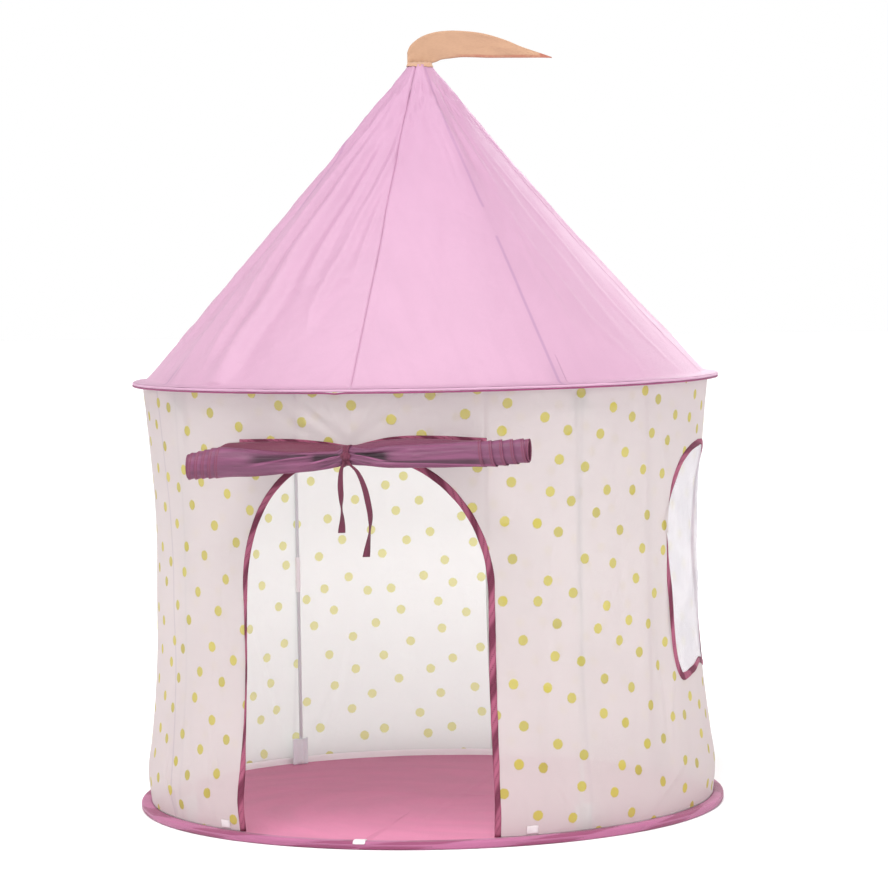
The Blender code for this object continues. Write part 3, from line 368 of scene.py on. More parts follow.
def roof_paint(t, uv, tone):
    """Painted shade along the pole behind the satin and softly beside it, painted shade in soft
    bands up the slope and towards the tip, and the stitching of the pocket over the pole's foot.
    x counts from the pole's line and y up the slope."""
    x, y, _ = t.split(uv)
    # Painted shade: the pole behind the satin as a darker line, left out over its ferrule.
    pole = t.line(x, 0.0012, 0.004, 0.55) * t.ramp(abs(y - FERRULE_UP), 0.031, 0.036)
    tone = t.mix(pole, tone, (0.36, 0.2, 0.35, 1))
    # Painted shade in a soft band either side of the pole's line.
    tone = t.mix(t.line(x, 0.003, 0.016, 0.1), tone, shade(PINK, 0.86))
    stitch = t.line(x - 0.015, 0.0004, 0.0012) * t.ramp(y, 0.055, 0.06, 1.0, 0.0)
    tone = t.mix(stitch * 0.35, tone, (0.4, 0.2, 0.34, 1))
    # Painted shade in soft bands running up the slope, for the satin's broad sheen.
    painted_satin_bands = t.noise(t.scaled(uv, (30.0, 3.0, 1.0)), 1.0, 3.0)
    tone = t.mix(t.ramp(painted_satin_bands, 0.45, 0.75, 0.0, 0.16), tone, shade(PINK, 0.84))
    # Painted shade: the satin darker and deeper pink towards the tip.
    tone = t.mix(t.ramp(y, 0.1, 0.72, 0.0, 0.4), tone, (0.52, 0.255, 0.43, 1))
    return tone, 1.0 - stitch


# Painted shade in folds beside the knot: x, height and half height at each end, and how dark it is
ROLL_SHADES = (
    (-0.01, 0.666, 0.002, -0.078, 0.66, 0.009, 0.92),
    (-0.06, 0.665, 0.002, -0.2, 0.66, 0.012, 0.75),
    (-0.008, 0.654, 0.0012, -0.06, 0.644, 0.003, 0.45),
    (0.004, 0.668, 0.0022, 0.088, 0.664, 0.011, 0.95),
    (0.03, 0.654, 0.0012, 0.3, 0.656, 0.008, 0.65),
    (0.004, 0.658, 0.001, 0.05, 0.649, 0.003, 0.4),
)


def hems(t, uv, tone):
    """Painted shade and highlights in the folds beside the knot, painted streaks of sheen and shade,
    a painted shadow over the flap's neck, and the stitched hems of the rolled flap: x counts from
    one edge, y from the other.
    """
    x, y, _ = t.split(uv)
    near = t.math("MINIMUM", x, y)
    # Light and dark streaks along the roll: painted satin sheen and shade, and bumps of the crumpled
    # cloth.
    streak = t.noise(t.scaled(t.place(), (9.0, 85.0, 85.0)), 1.0, 3.0)
    tone = t.mix(0.5, tone, shade(MAUVE, 1.35))
    tone = t.mix(t.ramp(streak, 0.36, 0.64), shade(MAUVE, 0.88), tone)
    across, back, up = t.split(t.place())
    # Painted shade in each fold beside the knot, sharp along its lower edge.
    for near_x, near_z, near_half, far_x, far_z, far_half, deep in ROLL_SHADES:
        share = t.ramp(across, near_x, far_x)
        off = up - t.ramp(across, near_x, far_x, near_z, far_z)
        off = off / t.ramp(across, near_x, far_x, near_half, far_half)
        along = t.ramp(share, 0.0, 0.04) * t.ramp(share, 0.72, 1.0, 1.0, 0.0)
        along = along * t.ramp(back, -0.54, -0.544)
        dark = t.ramp(off, -1.0, -0.78, 0.0, deep) * t.ramp(off, 0.0, 1.1, 1.0, 0.0)
        tone = t.mix(dark * along, tone, shade(MAUVE, 0.1))
        # Painted highlight along the ridge just below the fold's dark edge.
        light = t.line(off + 1.2, 0.05, 0.35, 0.5 * deep)
        tone = t.mix(light * along, tone, shade(MAUVE, 2.6))
    # Painted shadow over the neck of the flap at the back of the roll, lighter to the right.
    behind = t.ramp(back, -0.5378, -0.5345) * t.ramp(across, -0.03, 0.03, 1.0, 0.6)
    tone = t.mix(behind, tone, shade(PLUM, 0.75))
    band = t.line(near - 0.004, 0.0006, 0.0016, 0.75)
    tone = t.mix(band, tone, shade(PLUM, 1.05))
    tone = t.mix(t.ramp(near, 0.001, 0.0022, 0.7, 0.0), tone, shade(PLUM, 1.15))
    return tone, streak * 3.0 + (1.0 - band)


def flag_paint(t, uv, tone):
    """The turned hem along the lower edge and the double layer at the point."""
    x, y, _ = t.split(uv)
    hem = t.ramp(y, 0.0042, 0.0058, 0.62, 0.0) * t.ramp(x, 0.065, 0.12)
    hem = hem * t.ramp(t.noise(uv, 90.0, 2.0), 0.3, 0.6, 0.6, 1.0)
    tip = t.ramp(x, 0.236, 0.241, 0.0, 0.85)
    return t.mix(t.math("MAXIMUM", hem, tip), tone, (0.4, 0.125, 0.09, 1)), 1.0 - hem


def rim_paint(t, uv, tone):
    """The rim's cloth: a dark band along the bottom, partly its binding and partly painted shade,
    with a stitched line beside it, by the height in y.
    """
    _, y, _ = t.split(uv)
    line = t.line(y - 0.0062, 0.0004, 0.0011, 0.5)
    # Dark band along the bottom: partly the binding, partly painted shade.
    tone = t.mix(t.ramp(y, 0.0036, 0.0048, 0.85, 0.0), tone, (0.23, 0.045, 0.11, 1))
    return t.mix(line, tone, shade(RIM, 0.6)), 1.0 - line


def stitched(t, uv, tone):
    """Folded tape with a painted highlight along one part, darker along the other, and rows of
    stitches. y runs round it, from 1 to 0 and back."""
    x, y, _ = t.split(uv)
    drift = (t.noise(t.scaled(uv, (1.0, 0.01, 1.0)), 9.0) - 0.5) * 0.8
    # Painted highlight: a lighter colour along one part of the tape, with a wandering edge.
    tone = t.mix(t.ramp(y + drift, 0.3, 0.62), tone, (0.36, 0.095, 0.165, 1))
    side = t.math("MINIMUM", y, 1.0 - y)
    wave = t.math("SINE", x * (math.tau / STITCH_PITCH))
    row = t.line(side - 0.16, 0.03, 0.07) * t.ramp(wave, -0.4, 0.4)
    return t.mix(row * 0.5, tone, shade(PLUM, 0.55)), row


def net_cloth(name):
    """Fine knitted mesh: small holes in rows that let what is behind show."""
    t = Tree(bpy.data.materials.new(name))
    uv = t.uv()
    x, y, _ = t.split(uv)
    turns = math.tau / NET_PITCH
    hole = t.ramp(abs(t.math("SINE", x * turns) * t.math("SINE", y * turns)), 0.3, 0.42)
    tone = t.mix(t.ramp(t.noise(uv, 14.0, 2.0), 0.3, 0.7), (0.7, 0.7, 0.75, 1),
                 (0.82, 0.82, 0.86, 1))
    threads = t.surface(tone, 0.75, Sheen_Weight=0.2, Normal=t.bump(hole, 0.0002))
    threads = t.blend(0.35, threads, t.add("ShaderNodeBsdfTranslucent", {"Color": tone}))
    share = t.ramp(hole, 0.0, 1.0, 0.05, 0.52)
    return t.finish(t.blend(share, threads, t.add("ShaderNodeBsdfTransparent")))


LOOKS = {
    "wall": cloth("wall_cloth", PALE, roughness=0.85, sheen=0.0, vary=0.015, through=0.36,
                  clear=0.13, glow=(0.86, 0.84, 0.82, 0.6), shine=0.2, paint=dots),
    "lining": cloth("lining_cloth", WHITE, roughness=0.85, sheen=0.0, vary=0.02, through=0.3),
    # Painted light: the seam allowance is paler than the lining, lifting the shade at the wall's
    # foot.
    "skirt": cloth("seam_allowance", (0.95, 0.95, 0.94), roughness=0.85, sheen=0.0, vary=0.02),
    "roof": cloth("roof_satin", PINK, roughness=0.44, sheen=0.0, vary=0.02, streak=0.06,
                  through=0.14, shine=0.5, paint=roof_paint),
    "brim": cloth("brim_satin", PINK, roughness=0.55, sheen=0.0, vary=0.04),
    # The edging's dark colour is partly painted shade under the brim's outer edge.
    "edging": cloth("brim_edging", (0.27, 0.055, 0.145), roughness=0.7, sheen=0.1, vary=0.12),
    "floor": cloth("floor_cloth", ROSE, roughness=0.72, pitch=0.0011, streak=0.35),
    "rim": cloth("rim_cloth", RIM, roughness=0.62, streak=0.1, paint=rim_paint),
    "tape": cloth("binding_tape", PLUM, roughness=0.72, sheen=0.0, vary=0.12, shine=0.2,
                  paint=stitched),
    "roll": cloth("roll_satin", MAUVE, roughness=0.42, sheen=0.0, vary=0.12, streak=0.12,
                  shine=0.4, paint=hems),
    # Painted shade: the web is darker than the roll's satin, for the shade it lies in between the
    # strip and the roll.
    "web": cloth("web_satin", shade(MAUVE, 0.55), roughness=0.5, sheen=0.0, streak=0.12),
    "ribbon": cloth("tie_ribbon", (0.155, 0.03, 0.062), roughness=0.55, sheen=0.05, vary=0.2,
                    streak=0.3, shine=0.3),
    "flag": cloth("flag_cloth", PEACH, roughness=0.8, sheen=0.3, vary=0.05, streak=0.25,
                  paint=flag_paint),
    "pocket": cloth("pocket_tape", GREY, roughness=0.75, pitch=0.0016, depth=0.0001),
    "tab": cloth("hook_tape", (0.86, 0.78, 0.8), roughness=0.9, pitch=0.0013, depth=0.0003,
                 vary=0.1),
    "net": net_cloth("net_mesh"),
}


# Meshes
def add_object(name, data):
    thing = bpy.data.objects.new(name, data)
    bpy.context.scene.collection.objects.link(thing)
    return thing


def grid_piece(name, points, cloth_uv, keep=None, wrap=False):
    """A sheet from rows of points. keep says which faces stay; wrap joins the last column.
    Coordinates of a wrapped sheet have one more column than its points and are taken in one run,
    so a print winds slowly round it."""
    rows, columns = len(points), len(points[0])
    flat = [point for row in points for point in row]
    flat_uv = [mark for row in cloth_uv for mark in row]
    faces, places = [], []
    for i in range(rows - 1):
        for j in range(columns if wrap else columns - 1):
            if keep is not None and not keep[i][j]:
                continue
            after = (j + 1) % columns
            face = (i * columns + j, i * columns + after,
                    (i + 1) * columns + after, (i + 1) * columns + j)
            faces.append(face)
            ring = [flat_uv[k] for k in face]
            if after == 0:
                ring[1:3] = cloth_uv[i][columns], cloth_uv[i + 1][columns]
            places.extend(ring)
    used = sorted({k for face in faces for k in face})
    index = {k: n for n, k in enumerate(used)}
    mesh = bpy.data.meshes.new(name)
    mesh.from_pydata([flat[k] for k in used], [], [[index[k] for k in face] for face in faces])
    layer = mesh.uv_layers.new(name="cloth")
    layer.data.foreach_set("uv", [c for place in places for c in place])
    mesh.shade_smooth()
    return add_object(name, mesh)


def woven(name, rows, columns, place, keep=None, wrap=False):
    """A sheet whose place(row, column) gives a point and its cloth coordinates. With wrap the
    last column lies on the first and gives only its cloth coordinates."""
    cells = [[place(row, column) for column in columns] for row in rows]
    points = [[point for point, _ in (row[:-1] if wrap else row)] for row in cells]
    return grid_piece(name, points, [[mark for _, mark in row] for row in cells], keep, wrap)


def thicken(piece, thickness, offset=0.0):
    modifier = piece.modifiers.new("Thickness", "SOLIDIFY")
    modifier.thickness = thickness
    modifier.offset = offset
    return piece


def dress(piece, look, body, slot, *nodes):
    """Give a piece its cloth, the body that it rides on and the solids it stands for."""
    piece.data.materials.append(LOOKS[look])
    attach(piece, body)
    if nodes:
        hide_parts(*nodes)
    return piece


def tube_piece(name, centres, sides, ups, profile, closed=False):
    """Sweep a ring of (across, up) points along centres with the given axes."""
    rings = [[centre + side * across + up * lift for across, lift in profile(k)]
             for k, (centre, side, up) in enumerate(zip(centres, sides, ups))]
    count = len(rings[0])
    along = [0.0]
    for before, after in zip(centres, centres[1:]):
        along.append(along[-1] + (after - before).length)
    if closed:
        rings.append(rings[0])
        along.append(along[-1] + (centres[0] - centres[-1]).length)
    across = [abs(2 * k / count - 1) for k in range(count + 1)]
    piece = grid_piece(name, rings, [[(run, share) for share in across] for run in along], wrap=True)
    if closed:
        weld(piece)
    else:
        close_ends(piece, count)
    return piece


def weld(piece):
    """Join the points that lie on each other."""
    modifier = piece.modifiers.new("Weld", "WELD")
    modifier.merge_threshold = 0.00002
    graph = bpy.context.evaluated_depsgraph_get()
    graph.update()
    mesh = bpy.data.meshes.new_from_object(piece.evaluated_get(graph))
    piece.modifiers.clear()
    piece.data = mesh
    return piece


def close_ends(piece, count):
    """Flat faces over the first and the last ring of a tube."""
    shape = bmesh.new()
    shape.from_mesh(piece.data)
    shape.verts.ensure_lookup_table()
    layer = shape.loops.layers.uv["cloth"]
    for ring in (shape.verts[:count][::-1], shape.verts[-count:]):
        face = shape.faces.new(ring)
        face.smooth = False
        for loop in face.loops:
            loop[layer].uv = (0.0, 0.5)
    bmesh.ops.triangulate(shape, faces=[face for face in shape.faces if len(face.verts) > 4])
    shape.to_mesh(piece.data)
    shape.free()


def tape_ring(wide, thick, corner):
    """Cross-section of a tape with soft corners, as 14 points of (across, up)."""
    ring = []
    for n in range(14):
        c, s = math.cos(math.tau * n / 14), math.sin(math.tau * n / 14)
        ring.append((wide * math.copysign(abs(c) ** corner, c),
                     thick * math.copysign(abs(s) ** 0.8, s)))
    return ring


# Walls
def creases(seed, count, depth):
    """Soft creases as (azimuth, lean, width, depth, middle height, reach)."""
    draw = random.Random(seed)
    return [(draw.uniform(-math.pi, math.pi), draw.uniform(-0.06, 0.06),
             draw.uniform(0.012, 0.03), draw.uniform(-depth, depth), draw.uniform(0.12, 0.68),
             draw.uniform(0.1, 0.3)) for _ in range(count)]


WALL_CREASES = creases(11, 54, 0.0026) + [
    (math.radians(38), 0.06, 0.022, -0.003, 0.3, 0.3),
    (math.radians(62), 0.02, 0.022, 0.003, 0.25, 0.25),
    (math.radians(54), 0.02, 0.016, -0.0022, 0.62, 0.2),
    (math.radians(-33), 0.05, 0.018, -0.0028, 0.3, 0.3),
]

# Pulled creases as (line of arc and height, width, depth): a ridge and a hollow side by side
WALL_PULLS = (
    (((-0.024, 0.694), (-0.062, 0.728), (-0.106, 0.764)), 0.006, 0.0034),
    (((-0.02, 0.696), (-0.04, 0.73), (-0.058, 0.764)), 0.005, 0.0028),
    (((-0.012, 0.696), (-0.011, 0.73), (-0.008, 0.764)), 0.0045, 0.0022),
    (((0, 0.696), (0.022, 0.722), (0.05, 0.764)), 0.0055, -0.0028),
    (((0.008, 0.694), (0.044, 0.726), (0.078, 0.764)), 0.006, -0.0026),
    (((-0.05, 0.69), (-0.1, 0.712), (-0.16, 0.764)), 0.008, 0.0022),
    (((0.325, 0.117), (0.348, 0.075), (0.372, 0.034)), 0.006, 0.0022),
    (((0.278, 0.075), (0.286, 0.045), (0.296, 0.018)), 0.004, 0.0022),
    (((0.56, 0.04), (0.615, 0.07), (0.68, 0.115)), 0.007, -0.0024),
    (((0.59, 0.33), (0.606, 0.24), (0.615, 0.144)), 0.008, 0.002),
    (((-0.3, 0.03), (-0.312, 0.11), (-0.32, 0.21)), 0.006, 0.0018),
    (((-0.47, 0.124), (-0.455, 0.07), (-0.43, 0.018)), 0.006, -0.0024),
    (((-1.093, 0.275), (-1.133, 0.18), (-1.18, 0.05)), 0.005, 0.003),
    (((-1.25, 0.04), (-1.3, 0.15), (-1.33, 0.3)), 0.008, 0.0024),
    (((1.3, 0.06), (1.34, 0.16), (1.345, 0.33)), 0.008, 0.0026),
    (((1.18, 0.7), (1.14, 0.56), (1.15, 0.42)), 0.008, -0.0024),
    (((0.64, 0.6), (0.625, 0.64), (0.6, 0.7)), 0.006, 0.0024),
    (((0.655, 0.25), (0.63, 0.18), (0.625, 0.12)), 0.006, 0.0024),
)
PULL_STRENGTH = 0.75


def wall_radius(azimuth, height):
    """Radius of the wall cloth: the waist, the sag between poles, creases, pulls and puckers, held
    out where it passes a pole."""
    up = clip((height - WALL_FOOT) / WALL_HIGH)
    free = math.sin(math.pi * up)
    even = WALL_RADIUS - WAIST * curve_at(WALL_ROWS, up)
    radius = even - 0.006 * abs(math.sin(2 * azimuth - QUARTER)) ** 1.3 * free
    radius -= 0.001 * math.sin(12 * azimuth) * free
    for middle, lean, width, depth, centre, reach in WALL_CREASES:
        arc = wrapped(azimuth - middle - lean * (height - centre)) * WALL_RADIUS
        if abs(arc) < 3 * width:
            radius += depth * bell(arc, width) * bell(height - centre, reach) * min(1, 2.5 * free)
    arc = azimuth * WALL_RADIUS
    for line, width, depth in WALL_PULLS:
        reach = 4 * width
        low, high = min(p[0] for p in line) - reach, max(p[0] for p in line) + reach
        if low < arc < high and min(line[0][1], line[-1][1]) - reach < height:
            off, along = near_line(arc, height, line)
            if abs(off) < reach:
                fade = PULL_STRENGTH * math.sin(math.pi * clip(0.12 + 0.8 * along))
                radius += depth * fade * (bell(off - width, width) - bell(off + width, width))
    radius += 0.0016 * rough(arc * 9, height * 5, 3.1) * min(1, 2 * free)
    radius += 0.0006 * rough(arc * 34, height * 12, 7.7) * min(1, 3 * free)
    edge = bell(height - WALL_TOP, 0.03) + 0.7 * bell(height - WALL_FOOT, 0.025)
    radius += 0.0008 * edge * rough(arc * 75, height * 20, 5.0)
    pole = (azimuth - QUARTER / 2) % QUARTER
    pole = min(pole, QUARTER - pole) * WALL_RADIUS
    return radius + bell(pole, 0.022) * max(even - 0.0003 - radius, 0)


def wall_at(arc, height, lift=0.0):
    azimuth = arc / WALL_RADIUS
    return polar(azimuth, wall_radius(azimuth, height) + lift, height)


def door_line(steps=69, turns=110):
    """Outline of the doorway as arcs and heights, from its left foot to its right foot."""
    rise = DOOR_TOP - DOOR_SPRING
    legs = [WALL_FOOT + (DOOR_SPRING - WALL_FOOT) * k / steps for k in range(steps)]
    arch = [math.pi * k / turns for k in range(turns + 1)]
    return ([(-DOOR_HALF, z) for z in legs]
            + [(-DOOR_HALF * math.cos(a), DOOR_SPRING + rise * math.sin(a)) for a in arch]
            + [(DOOR_HALF, z) for z in reversed(legs)])


def window_line(count=26):
    """Outline of the window as arcs and heights, its front side pulled in half way up."""
    height = WINDOW_HIGH - WINDOW_LOW
    left = []
    for curve in WINDOW_CURVES:
        knots = [Vector((WINDOW_HALF * x, height * y, 0)) for x, y in curve]
        left.extend(interpolate_bezier(*knots, count)[:-1])
    line = left + [Vector((0, height, 0))] + [Vector((-p.x, p.y, 0)) for p in reversed(left[1:])]
    return [(WINDOW_ARC + p.x + WINDOW_PULL * bell(p.y - height / 2, height / 3) * (p.x < 0),
             WINDOW_LOW + p.y) for p in line]


def inside(arc, height, outline):
    within = False
    for (x0, y0), (x1, y1) in zip(outline, outline[1:] + outline[:1]):
        if (y0 > height) != (y1 > height) and arc < x0 + (height - y0) / (y1 - y0) * (x1 - x0):
            within = not within
    return within


def wall_sheet(name, size, low, high, outline=None, fill=False, lift=None):
    """Cloth on the wall between two (arc, height) corners, with its nearest points drawn on to an
    outline. fill keeps what is inside the outline, and otherwise it is cut out."""
    columns, rows = int((high[0] - low[0]) / size), int((high[1] - low[1]) / size)
    arcs = np.linspace(low[0], high[0], columns + 1)
    heights = np.linspace(low[1], high[1], rows + 1)
    places = np.stack(np.meshgrid(arcs, heights), axis=-1)
    keep = None
    if outline:
        line = np.array(outline)
        least, most = line.min(0) - 2 * size, line.max(0) + 2 * size
        for i, j in np.ndindex(rows + 1, columns + 1):
            p = places[i, j]
            if (fill or i > 0) and (p > least).all() and (p < most).all():
                off = np.hypot(*(line - p).T)
                if off.min() < 0.52 * size:
                    places[i, j] = line[off.argmin()]
        drop = 0 if fill or outline[0][1] > WALL_FOOT + size else size
        ring = [(outline[0][0], outline[0][1] - drop), *outline,
                (outline[-1][0], outline[-1][1] - drop)]
        keep = [[not fill] * columns for _ in range(rows)]
        for i, j in np.ndindex(rows, columns):
            c = places[i:i + 2, j:j + 2].reshape(-1, 2).mean(0)
            if (c > least).all() and (c < most).all():
                keep[i][j] = inside(c[0], c[1], ring) == fill
    points = [[wall_at(a, z, lift(a, z) if lift else 0.0) for a, z in row] for row in places]
    return grid_piece(name, points, [[(a, z) for a, z in row] for row in places], keep)


def make_wall(side, first, last, outline=None):
    """One length of wall cloth."""
    piece = wall_sheet(f"wall_{side}_cloth", WALL_CELL, (first * WALL_RADIUS, WALL_FOOT),
                       (last * WALL_RADIUS, WALL_TOP), outline)
    return dress(piece, "wall", "tent", "wall_cloth", f"wall_{side}")


def make_skirt(side, first, last):
    """The seam allowance inside the foot of the wall, turned down over the rim's inner side."""
    path = ((0.5108, 0.0151), (0.5098, 0.0149), (0.5091, 0.0138), (0.5088, 0.011),
            (0.5085, 0.007), (0.508, 0.003))
    columns = int((last - first) * WALL_RADIUS / 0.008)

    def place(n, k):
        azimuth = first + (last - first) * k / columns
        radius, height = path[n]
        slack = n / (len(path) - 1) * (0.0016 + 0.0016 * rough(azimuth * 9, n * 0.3, 6.6))
        return polar(azimuth, radius - slack, height), (azimuth * WALL_RADIUS, height)

    piece = woven(f"wall_skirt_{side}", range(len(path)), range(columns + 1), place)
    return dress(piece, "skirt", "tent", "wall_cloth")


def make_back_seam():
    """Bound seam that closes the wall at the back, on its inner side."""
    def place(k, n):
        height = WALL_FOOT + 0.001 + (WALL_HIGH - 0.002) * k / 96
        across = n / 4 - 1
        azimuth = math.pi + across * SEAM_HALF / WALL_RADIUS
        lift = -0.0004 - 0.0016 * (1 - across * across)
        return polar(azimuth, wall_radius(azimuth, height) + lift, height), (height, n / 8)

    piece = woven("back_seam_tape", range(97), range(9), place)
    return dress(piece, "lining", "tent", "wall_cloth")


def tape_along(opening, line, turn, width, thickness, seed, closed=False, narrow=None, sink=None):
    """Folded tape swept along a line on the wall. turn, narrow and sink give its twist, its share
    of the width and its height over the cloth at an arc and a height."""
    centres = [wall_at(a, z, sink(a, z) if sink else 0.0) for a, z in line]
    count = len(centres)
    sides, ups = [], []
    for k in range(count):
        before = centres[(k - 1) % count] if closed or k else centres[k]
        after = centres[(k + 1) % count] if closed or k < count - 1 else centres[k]
        run = (after - before).normalized()
        across = polar(line[k][0] / WALL_RADIUS, 1, 0).cross(run).normalized()
        spin = Matrix.Rotation(turn(*line[k]), 3, run)
        sides.append(spin @ across)
        ups.append(spin @ run.cross(across).normalized())

    def profile(k):
        wide = width / 2 * (1 + 0.12 * rough(k * 0.21, seed + 0.5))
        if narrow:
            wide *= narrow(*line[k])
        return tape_ring(wide, thickness / 2 * (1 + 0.18 * rough(k * 0.21 * 1.7, seed + 4.5)), 0.7)

    piece = tube_piece(f"{opening}_binding_tape", centres, sides, ups, profile, closed)
    return dress(piece, "tape", "tent", "binding", f"{opening}_binding")


def door_turn(arc, height):
    if arc < 0:
        return -0.8 * bell(height - 0.28, 0.13) + 0.6 * bell(height - 0.08, 0.05)
    return 0.35 * bell(height - 0.3, 0.16) - 0.3 * bell(height - 0.1, 0.05)


def window_turn(arc, height):
    if arc < WINDOW_ARC:
        return 1.2 * bell(height - 0.515, 0.045) - 0.5 * bell(height - 0.36, 0.06)
    return -0.8 * bell(height - 0.44, 0.07)


def window_narrow(arc, height):
    """The front side of the binding is rolled under its own cloth half way up."""
    if arc < WINDOW_ARC:
        return 1.25 - 1.0 * step(height, 0.4, 0.49) * (1 - step(height, 0.56, 0.6))
    return 1 - 0.35 * bell(height - 0.44, 0.12)


def window_sink(arc, height):
    """How far the binding lies behind the cloth, where the cloth rolls over it."""
    side = (arc - WINDOW_ARC) / WINDOW_HALF
    front = 0.004 * bell(height - 0.525, 0.03) * (side < 0)
    return -front - 0.006 * bell(height - 0.45, 0.13) * step(side, 0.5, 1)


def make_net(outline):
    """The window's net, slack, with the fold lines that packing leaves."""
    line = np.array(outline)

    def lift(a, z):
        x = a - WINDOW_ARC
        off = min(np.hypot(*(line - (a, z)).T).min() / 0.05, 1)
        fold = bell((x + 0.05) + 0.35 * (z - 0.42), 0.005) + 0.8 * bell(x - 0.055, 0.005)
        fold += bell((z - 0.36) - 0.45 * x, 0.005) * step(x, -0.08, -0.05)
        return off * (0.0022 * fold - 0.004 + 0.0025 * rough(a * 14, z * 9, 2.2))

    arcs = [a for a, _ in outline]
    piece = wall_sheet("window_net_cloth", NET_CELL, (min(arcs), WINDOW_LOW),
                       (max(arcs), WINDOW_HIGH), outline, True, lift)
    return dress(piece, "net", "tent", "net", "window_net")


# Roof
ROOF_RUN = (ROOF_TIP[0] - ROOF_FOOT[0], ROOF_TIP[1] - ROOF_FOOT[1])
ROOF_LENGTH = math.hypot(*ROOF_RUN)
ROOF_SLOPE = Vector(ROOF_RUN).normalized()
# Folds as (azimuth in degrees at shares up the slope, width at the foot, depth of the step,
# height of the ridge beside it, lowest share, highest share)
ROOF_FOLDS = (
    (((0, -29.6), (0.15, -30.1), (0.24, -28.9), (0.34, -29.2), (0.44, -29.4), (0.57, -26.7),
      (0.69, -23.5), (0.81, -17.3), (1, -12)), 0.021, 0.015, 0.006, 0, 0.88),
    (((0, -12), (0.17, -13.1), (0.24, -14.2), (0.34, -13.1), (0.43, -11.1), (0.52, -10.2),
      (0.61, -6.8), (0.74, -2.5), (1, -2)), 0.012, 0.0062, 0.003, 0.16, 0.8),
    (((0, -20), (0.3, -21), (0.5, -19), (0.7, -14), (1, -8)), 0.016, 0.006, 0.0034, 0.3, 0.92),
    (((0, -38), (0.2, -39), (0.4, -40), (0.6, -37), (0.8, -27), (1, -20)), 0.014, 0.0075,
     0.004, 0.06, 0.9),
    (((0, -49.5), (0.2, -50.5), (0.4, -49.7), (0.64, -43.5), (0.8, -34.6), (1, -28)), 0.018,
     -0.01, 0.004, 0.02, 0.94),
    (((0, -59), (0.3, -60), (0.6, -57), (0.8, -48), (1, -40)), 0.014, 0.007, 0.0036, 0.1, 0.92),
    (((0, -71), (0.3, -72), (0.6, -70), (0.8, -62), (1, -50)), 0.014, -0.006, 0.003, 0.06, 0.9),
    (((0, -7), (0.4, -6.2), (0.55, -4.5), (1, -3)), 0.006, 0.003, 0.0015, 0.33, 0.62),
    (((0, -16), (0.5, -14.5), (0.75, -9), (1, -5)), 0.01, 0.003, 0.0016, 0.45, 0.9),
    (((0, -63), (0.3, -65), (0.6, -62), (1, -55)), 0.016, 0.003, 0.002, 0.04, 0.8),
    (((0, -78), (0.5, -76), (1, -70)), 0.014, 0.0024, 0.0014, 0.04, 0.65),
    (((0, 17), (0.22, 16.7), (0.37, 18.9), (0.51, 20.7), (1, 24)), 0.02, 0.0014, 0.0008, 0.14,
     0.62),
    (((0, 34), (0.6, 33), (0.75, 31), (0.85, 26), (1, 20)), 0.012, -0.004, 0.002, 0.6, 0.97),
    (((0, 46), (0.6, 44), (0.75, 42), (0.85, 37), (1, 30)), 0.012, 0.0045, 0.002, 0.66, 0.98),
    (((0, 58), (0.6, 55), (0.8, 52), (1, 46)), 0.012, 0.0036, 0.0018, 0.62, 0.96),
    (((0, 10), (0.56, 13.5), (0.74, 17.6), (0.9, 22.4), (1, 24)), 0.024, 0.0018, 0.0008, 0.52,
     0.94),
    (((0, 2.6), (0.17, 3.4), (0.27, 4.9), (0.385, 5.5), (1, 6)), 0.012, 0.001, 0.0005, 0.14, 0.45),
    (((0, 64), (0.075, 63), (0.18, 59.4), (0.31, 57.2), (0.44, 54.0), (1, 46)), 0.008, 0.0012,
     0.0006, 0.03, 0.6),
    (((0, 78), (0.04, 77.1), (0.21, 74), (0.43, 73.2), (0.59, 71.3), (1, 60)), 0.008, 0.0018,
     0.001, 0.02, 0.72),
    (((0, 53), (0.3, 51), (0.6, 48), (1, 44)), 0.01, 0.001, 0.0005, 0.08, 0.55),
    (((0, 68), (0.5, 64), (1, 56)), 0.01, 0.0012, 0.0006, 0.1, 0.8),
    (((0, 86), (0.5, 84), (1, 80)), 0.008, 0.0014, 0.0008, 0.1, 0.35),
    (((0, 101), (0.5, 98), (1, 92)), 0.014, 0.0034, 0.0018, 0.05, 0.85),
    (((0, 117), (0.5, 121), (1, 124)), 0.016, -0.003, 0.0018, 0.02, 0.7),
    (((0, 146), (0.5, 152), (1, 156)), 0.014, 0.0042, 0.0022, 0.04, 0.9),
    (((0, 163), (0.5, 166), (1, 168)), 0.012, -0.0026, 0.0012, 0.2, 0.8),
    (((0, -166), (0.5, -163), (1, -160)), 0.014, 0.0036, 0.0018, 0.05, 0.75),
    (((0, -150), (0.5, -157), (1, -160)), 0.014, -0.004, 0.002, 0.05, 0.88),
    (((0, -121), (0.5, -116), (1, -112)), 0.014, 0.0038, 0.002, 0.05, 0.9),
    (((0, -104), (0.5, -107), (1, -108)), 0.012, -0.0026, 0.0014, 0.03, 0.6),
)
# How many degrees the seams and the poles lean at shares up the slope
SEAM_LEAN = ((0, -0.6), (0.3, -0.85), (0.45, -1.0), (0.55, -1.7), (0.71, -2.3), (0.86, -4.4),
             (1, -5.0))
POLE_LEAN = ((0, 0), (0.44, -0.3), (0.54, -0.8), (0.69, -2.2), (0.83, -5.0), (1, -6))
# Sag of each gap between poles, and the flare of the roof's foot over the brim
ROOF_SAG = (0.012, 0.0135, 0.011, 0.005)
FLARE = ((0.5275, 0.7735), (0.5225, 0.7738), (0.517, 0.7742), (0.512, 0.7749),
         (0.508, 0.776), (0.5052, 0.7773))


def roof_line(share):
    """Straight slope from the foot to the tip, as (radius, height)."""
    return ROOF_FOOT[0] + share * ROOF_RUN[0], ROOF_FOOT[1] + share * ROOF_RUN[1]


def lean_at(table, share):
    return math.radians(curve_at(table, share))


